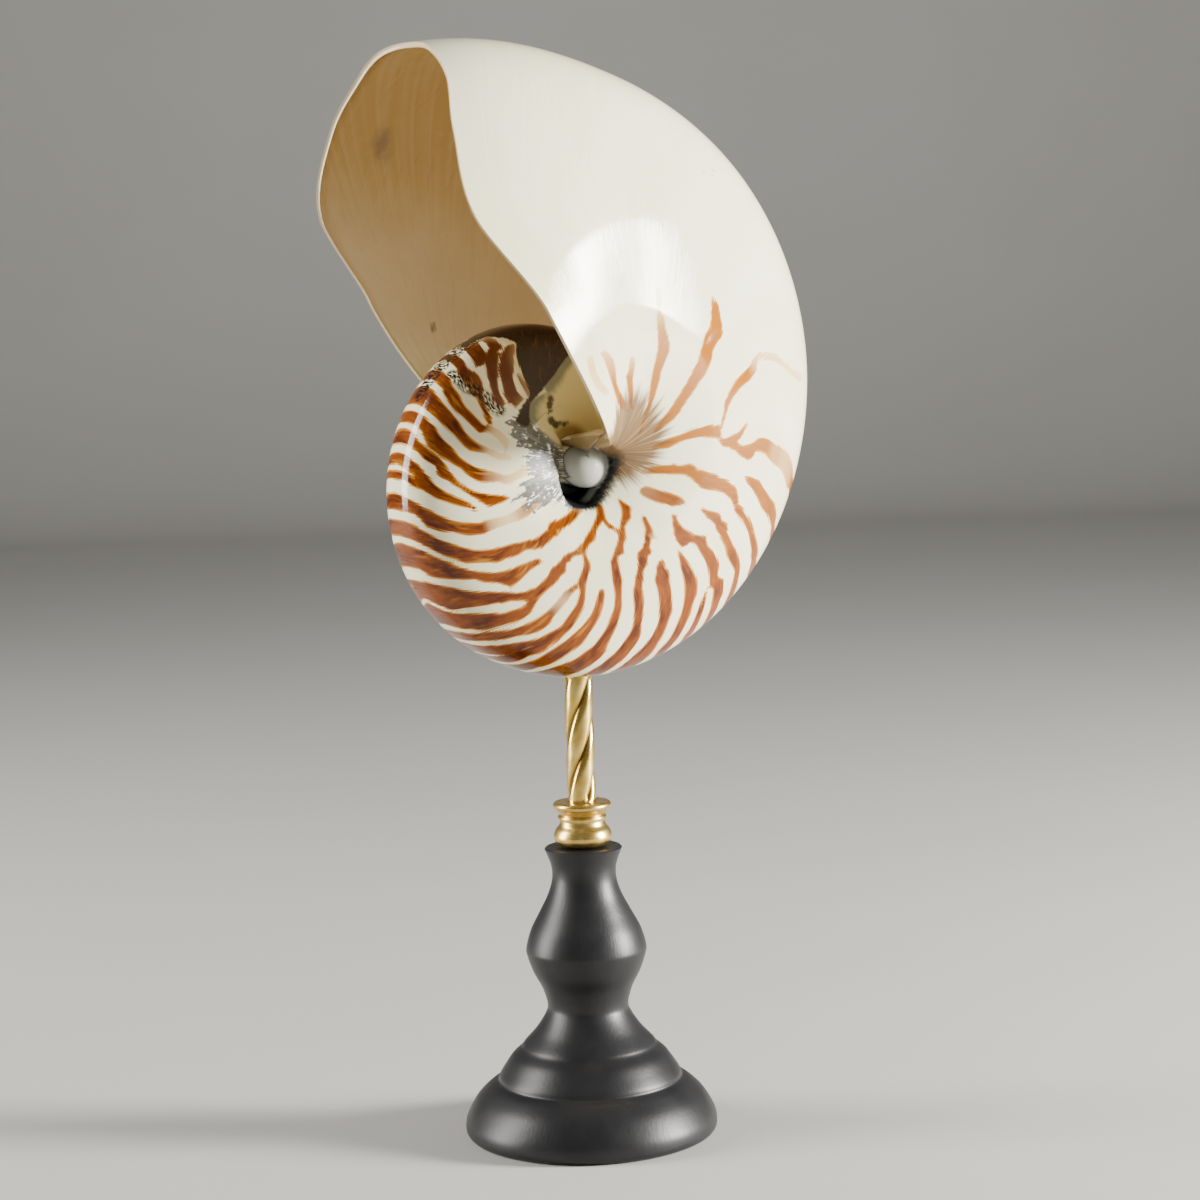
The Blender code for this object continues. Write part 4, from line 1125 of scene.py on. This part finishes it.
def shell_look():
    look = Look("shell_surface")
    colour = draw_ground(look)
    for draw in (draw_stripes, draw_fan, draw_rubbed, draw_film, draw_inside, draw_old_wall, draw_ledge,
                 draw_groove_shade, draw_boss):
        colour = draw(look, colour)
    dull = look.times(look.step(look.mark("rubbed"), -0.5, 1.0), 0.25)
    uneven = look.between(shell_grain(look, "gloss"), 0.04, 0.12)
    inner = look.times(look.mark("inside"), 0.2)
    lines = look.add(look.times(shell_grain(look, "growth lines"), 0.5),
                     look.times(shell_grain(look, "fine lines"), 0.2))
    return look.finish(base_color=colour, roughness=look.add(uneven, dull, inner), specular_ior_level=0.34,
                       normal=look.bump(lines, 0.12, 0.5))


def stem_look():
    """Polished brass, browner in the grooves between the strands."""
    look = Look("polished_brass")
    x, y, z = look.place()
    cloud = look.noise(look.join(x, y, z), 0.25, 4.0)
    wear = look.noise(look.join(x, y, z), 2.2, 4.0)
    colour = look.mix(look.step(cloud, 0.35, 0.65), BRASS, BRASS_PALE)
    depth = look.step(look.add(look.mark("groove"), look.spread(wear, 0.12)), 0.22, 0.8)
    colour = look.mix(depth, colour, BRASS_TARNISH)
    roughness = look.add(look.between(wear, 0.10, 0.28), look.times(depth, 0.2))
    return look.finish(base_color=colour, metallic=1.0, roughness=roughness, normal=look.bump(wear, 0.05, 0.4))


def collar_look():
    """Turned brass with fine tool rings and a satin sheen."""
    look = Look("satin_brass")
    x, y, z = look.place()
    radius = look.maths("SQRT", look.add(look.times(x, x), look.times(y, y)))
    rings = look.noise(look.join(look.times(radius, 5.0), 0.0, look.times(z, 5.0)), 1.0, 3.0)
    cloud = look.noise(look.join(x, y, z), 0.35, 4.0)
    colour = look.mix(look.step(cloud, 0.35, 0.68), COLLAR_BRASS, BRASS_PALE)
    colour = look.mix(look.times(look.step(rings, 0.5, 0.7), 0.35), colour, BRASS_TARNISH)
    roughness = look.add(look.between(rings, 0.16, 0.34), look.times(cloud, 0.08))
    return look.finish(base_color=colour, metallic=1.0, roughness=roughness, normal=look.bump(rings, 0.06, 0.5))


def base_look():
    """Satin black lacquer over turned wood: faint grain along the axis and fine dust in the lacquer."""
    look = Look("black_lacquer")
    x, y, z = look.place()
    grain = look.noise(look.join(look.times(x, 1.3), look.times(y, 1.3), look.times(z, 0.07)), 1.0, 4.0)
    dust = look.noise(look.join(x, y, z), 4.0, 2.0)
    cloud = look.noise(look.join(x, y, z), 0.09, 3.0)
    colour = look.mix(look.step(cloud, 0.3, 0.7), LACQUER, LACQUER_PALE)
    colour = look.mix(look.times(look.step(dust, 0.66, 0.74), 0.35), colour, DUST)
    roughness = look.add(look.between(cloud, 0.34, 0.46), look.spread(dust, 0.04))
    height = look.add(look.times(grain, 0.7), look.times(dust, 0.3))
    return look.finish(base_color=colour, roughness=roughness, specular_ior_level=0.38,
                       normal=look.bump(height, 0.10, 0.5))


def floor_look():
    look = Look("pale_floor")
    x, y, z = look.place()
    cloud = look.noise(look.join(x, y, z), 0.006, 4.0)
    paper = look.noise(look.join(x, y, z), 0.8, 3.0)
    colour = look.mix(cloud, FLOOR_PALE, FLOOR_WARM)
    return look.finish(base_color=colour, roughness=look.between(paper, 0.55, 0.75),
                       normal=look.bump(paper, 0.1, 0.3))


def make_shell():
    shell = Skin()
    outside = outside_rows(shell)
    inside = inside_rows(shell)
    shell.rows(outside)
    shell.rows(inside)
    round_lip(shell, outside[-1], inside[-1])
    for side in (-1, 1):
        close_umbilicus(shell, outside, inside, side)
    close_septum(shell, outside[0], inside[0])
    local = np.array(shell.points) / MM
    place = Matrix.Translation(COIL_CENTRE * MM) @ Matrix.Rotation(SHELL_LEAN, 4, "X")
    shell.points = [place @ point for point in shell.points]
    mesh = finish_piece("nautilus_shell", shell, shell_look(), SHELL_SHARP, "shell")
    mark_shell(mesh, shell, local)


def turn_on_lathe(outline, height):
    """A turned solid from (radius, height) points, closed on the axis at both ends."""
    turned = Skin()
    rings = [[turned.point((0, 0, outline[0][1] + height))] * TURNED_SEGMENTS]
    for radius, level in outline:
        rings.append([turned.point((radius * math.cos(a), radius * math.sin(a), level + height))
                      for a in (2 * math.pi * i / TURNED_SEGMENTS for i in range(TURNED_SEGMENTS))])
    rings.append([turned.point((0, 0, outline[-1][1] + height))] * TURNED_SEGMENTS)
    turned.rings(rings)
    return turned


def make_base():
    outline = [point for curve in (BASE_FOOT, BASE_TIER, BASE_COVE)
               for point in curve_through(curve, OUTLINE_STEPS)]
    outline += curve_through(BASE_RIM, RIM_STEPS)
    finish_piece("turned_base", turn_on_lathe(outline, 0), base_look(), TURNED_SHARP, "base")


def make_collar():
    outline = [point for curve in (COLLAR_FOOT, COLLAR_BEAD, COLLAR_FLANGE)
               for point in curve_through(curve, OUTLINE_STEPS)]
    finish_piece("turned_collar", turn_on_lathe(outline, BASE_TOP + GAP), collar_look(), TURNED_SHARP,
                 "collar")


def make_stem():
    stem = Skin()
    bottom = BASE_TOP + COLLAR_HEIGHT + GAP
    top = shell_underside() + GAP
    ring_size = STRANDS * STRAND_COLUMNS
    rings = [[stem.point((0, 0, bottom))] * ring_size]
    for row in range(STEM_ROWS + 1):
        height = bottom + (top - bottom) * row / STEM_ROWS
        turn = TWIST_PHASE + 2 * math.pi * (height - TWIST_PHASE_HEIGHT) / TWIST_PITCH
        fade = min(1, (height - bottom) / GROOVE_FADE, (top - height) / GROOVE_FADE)
        ring = []
        for i in range(ring_size):
            angle = turn + 2 * math.pi * i / ring_size
            groove = (1 - math.sin(math.pi * (i / STRAND_COLUMNS % 1))) ** 2
            radius = STEM_RADIUS - GROOVE_DEPTH * fade * groove
            ring.append(stem.point((radius * math.cos(angle), radius * math.sin(angle), height), groove=groove))
        rings.append(ring)
    rings.append([stem.point((0, 0, top))] * ring_size)
    stem.rings(rings)
    mesh = finish_piece("twisted_stem", stem, stem_look(), TURNED_SHARP, "stem")
    set_marks(mesh, "groove", stem.mark("groove"))


def make_floor():
    """A pale floor that curves up into a backdrop far behind."""
    start = FLOOR_REACH - FLOOR_BEND
    profile = [(-FLOOR_REACH, 0.0), (start, 0.0)]
    profile += [(start + FLOOR_BEND * math.sin(a), FLOOR_BEND - FLOOR_BEND * math.cos(a))
                for a in (math.pi / 2 * i / FLOOR_STEPS for i in range(1, FLOOR_STEPS + 1))]
    profile.append((FLOOR_REACH, FLOOR_RISE))
    away = Vector((math.sin(CAMERA_YAW), math.cos(CAMERA_YAW), 0))
    across = Vector((away.y, -away.x, 0)) * FLOOR_REACH
    floor = Skin()
    floor.rows([{i: floor.point(away * distance + across * i + Vector((0, 0, level))) for i in (-1, 1)}
                for distance, level in profile])
    make_object("floor", floor, floor_look())


def make_light(name, azimuth, elevation, size, watts, colour):
    """A soft box that faces the target; azimuth 0 is on the side of -Y and 90 on the side of +X."""
    data = bpy.data.lights.new(name, "AREA")
    data.shape = "RECTANGLE"
    data.size, data.size_y = size[0] * MM, size[1] * MM
    data.energy = watts
    data.color = colour
    box = bpy.data.objects.new(name, data)
    bpy.context.scene.collection.objects.link(box)
    a, e = math.radians(azimuth), math.radians(elevation)
    out = Vector((math.sin(a) * math.cos(e), -math.cos(a) * math.cos(e), math.sin(e)))
    box.location = (LIGHT_TARGET + out * LIGHT_DISTANCE) * MM
    box.rotation_mode = "QUATERNION"
    box.rotation_quaternion = out.to_track_quat("Z", "Y")


def make_air():
    """The even light from all round."""
    world = bpy.data.worlds.new("studio")
    world.use_nodes = True
    background = world.node_tree.nodes["Background"]
    background.inputs["Color"].default_value = AIR_COLOUR
    background.inputs["Strength"].default_value = AIR_STRENGTH
    bpy.context.scene.world = world


def make_camera():
    data = bpy.data.cameras.new("camera")
    data.sensor_width = SENSOR_WIDTH
    data.lens = CAMERA_LENS
    camera = bpy.data.objects.new("camera", data)
    ahead = Vector((math.sin(CAMERA_YAW), math.cos(CAMERA_YAW), 0)) * math.cos(CAMERA_PITCH)
    forward = ahead - Vector((0, 0, math.sin(CAMERA_PITCH)))
    level = Vector((math.cos(CAMERA_YAW), -math.sin(CAMERA_YAW), 0))
    upward = level.cross(forward)
    right = level * math.cos(CAMERA_ROLL) - upward * math.sin(CAMERA_ROLL)
    up = level * math.sin(CAMERA_ROLL) + upward * math.cos(CAMERA_ROLL)
    turned = Matrix((right, up, -forward)).transposed().to_4x4()
    camera.matrix_world = Matrix.Translation(CAMERA_PLACE * MM) @ turned
    bpy.context.scene.collection.objects.link(camera)
    bpy.context.scene.camera = camera


def main():
    make_shell()
    make_stem()
    make_collar()
    make_base()
    make_floor()
    make_camera()
    for light in LIGHTS:
        make_light(*light)
    make_air()


main()
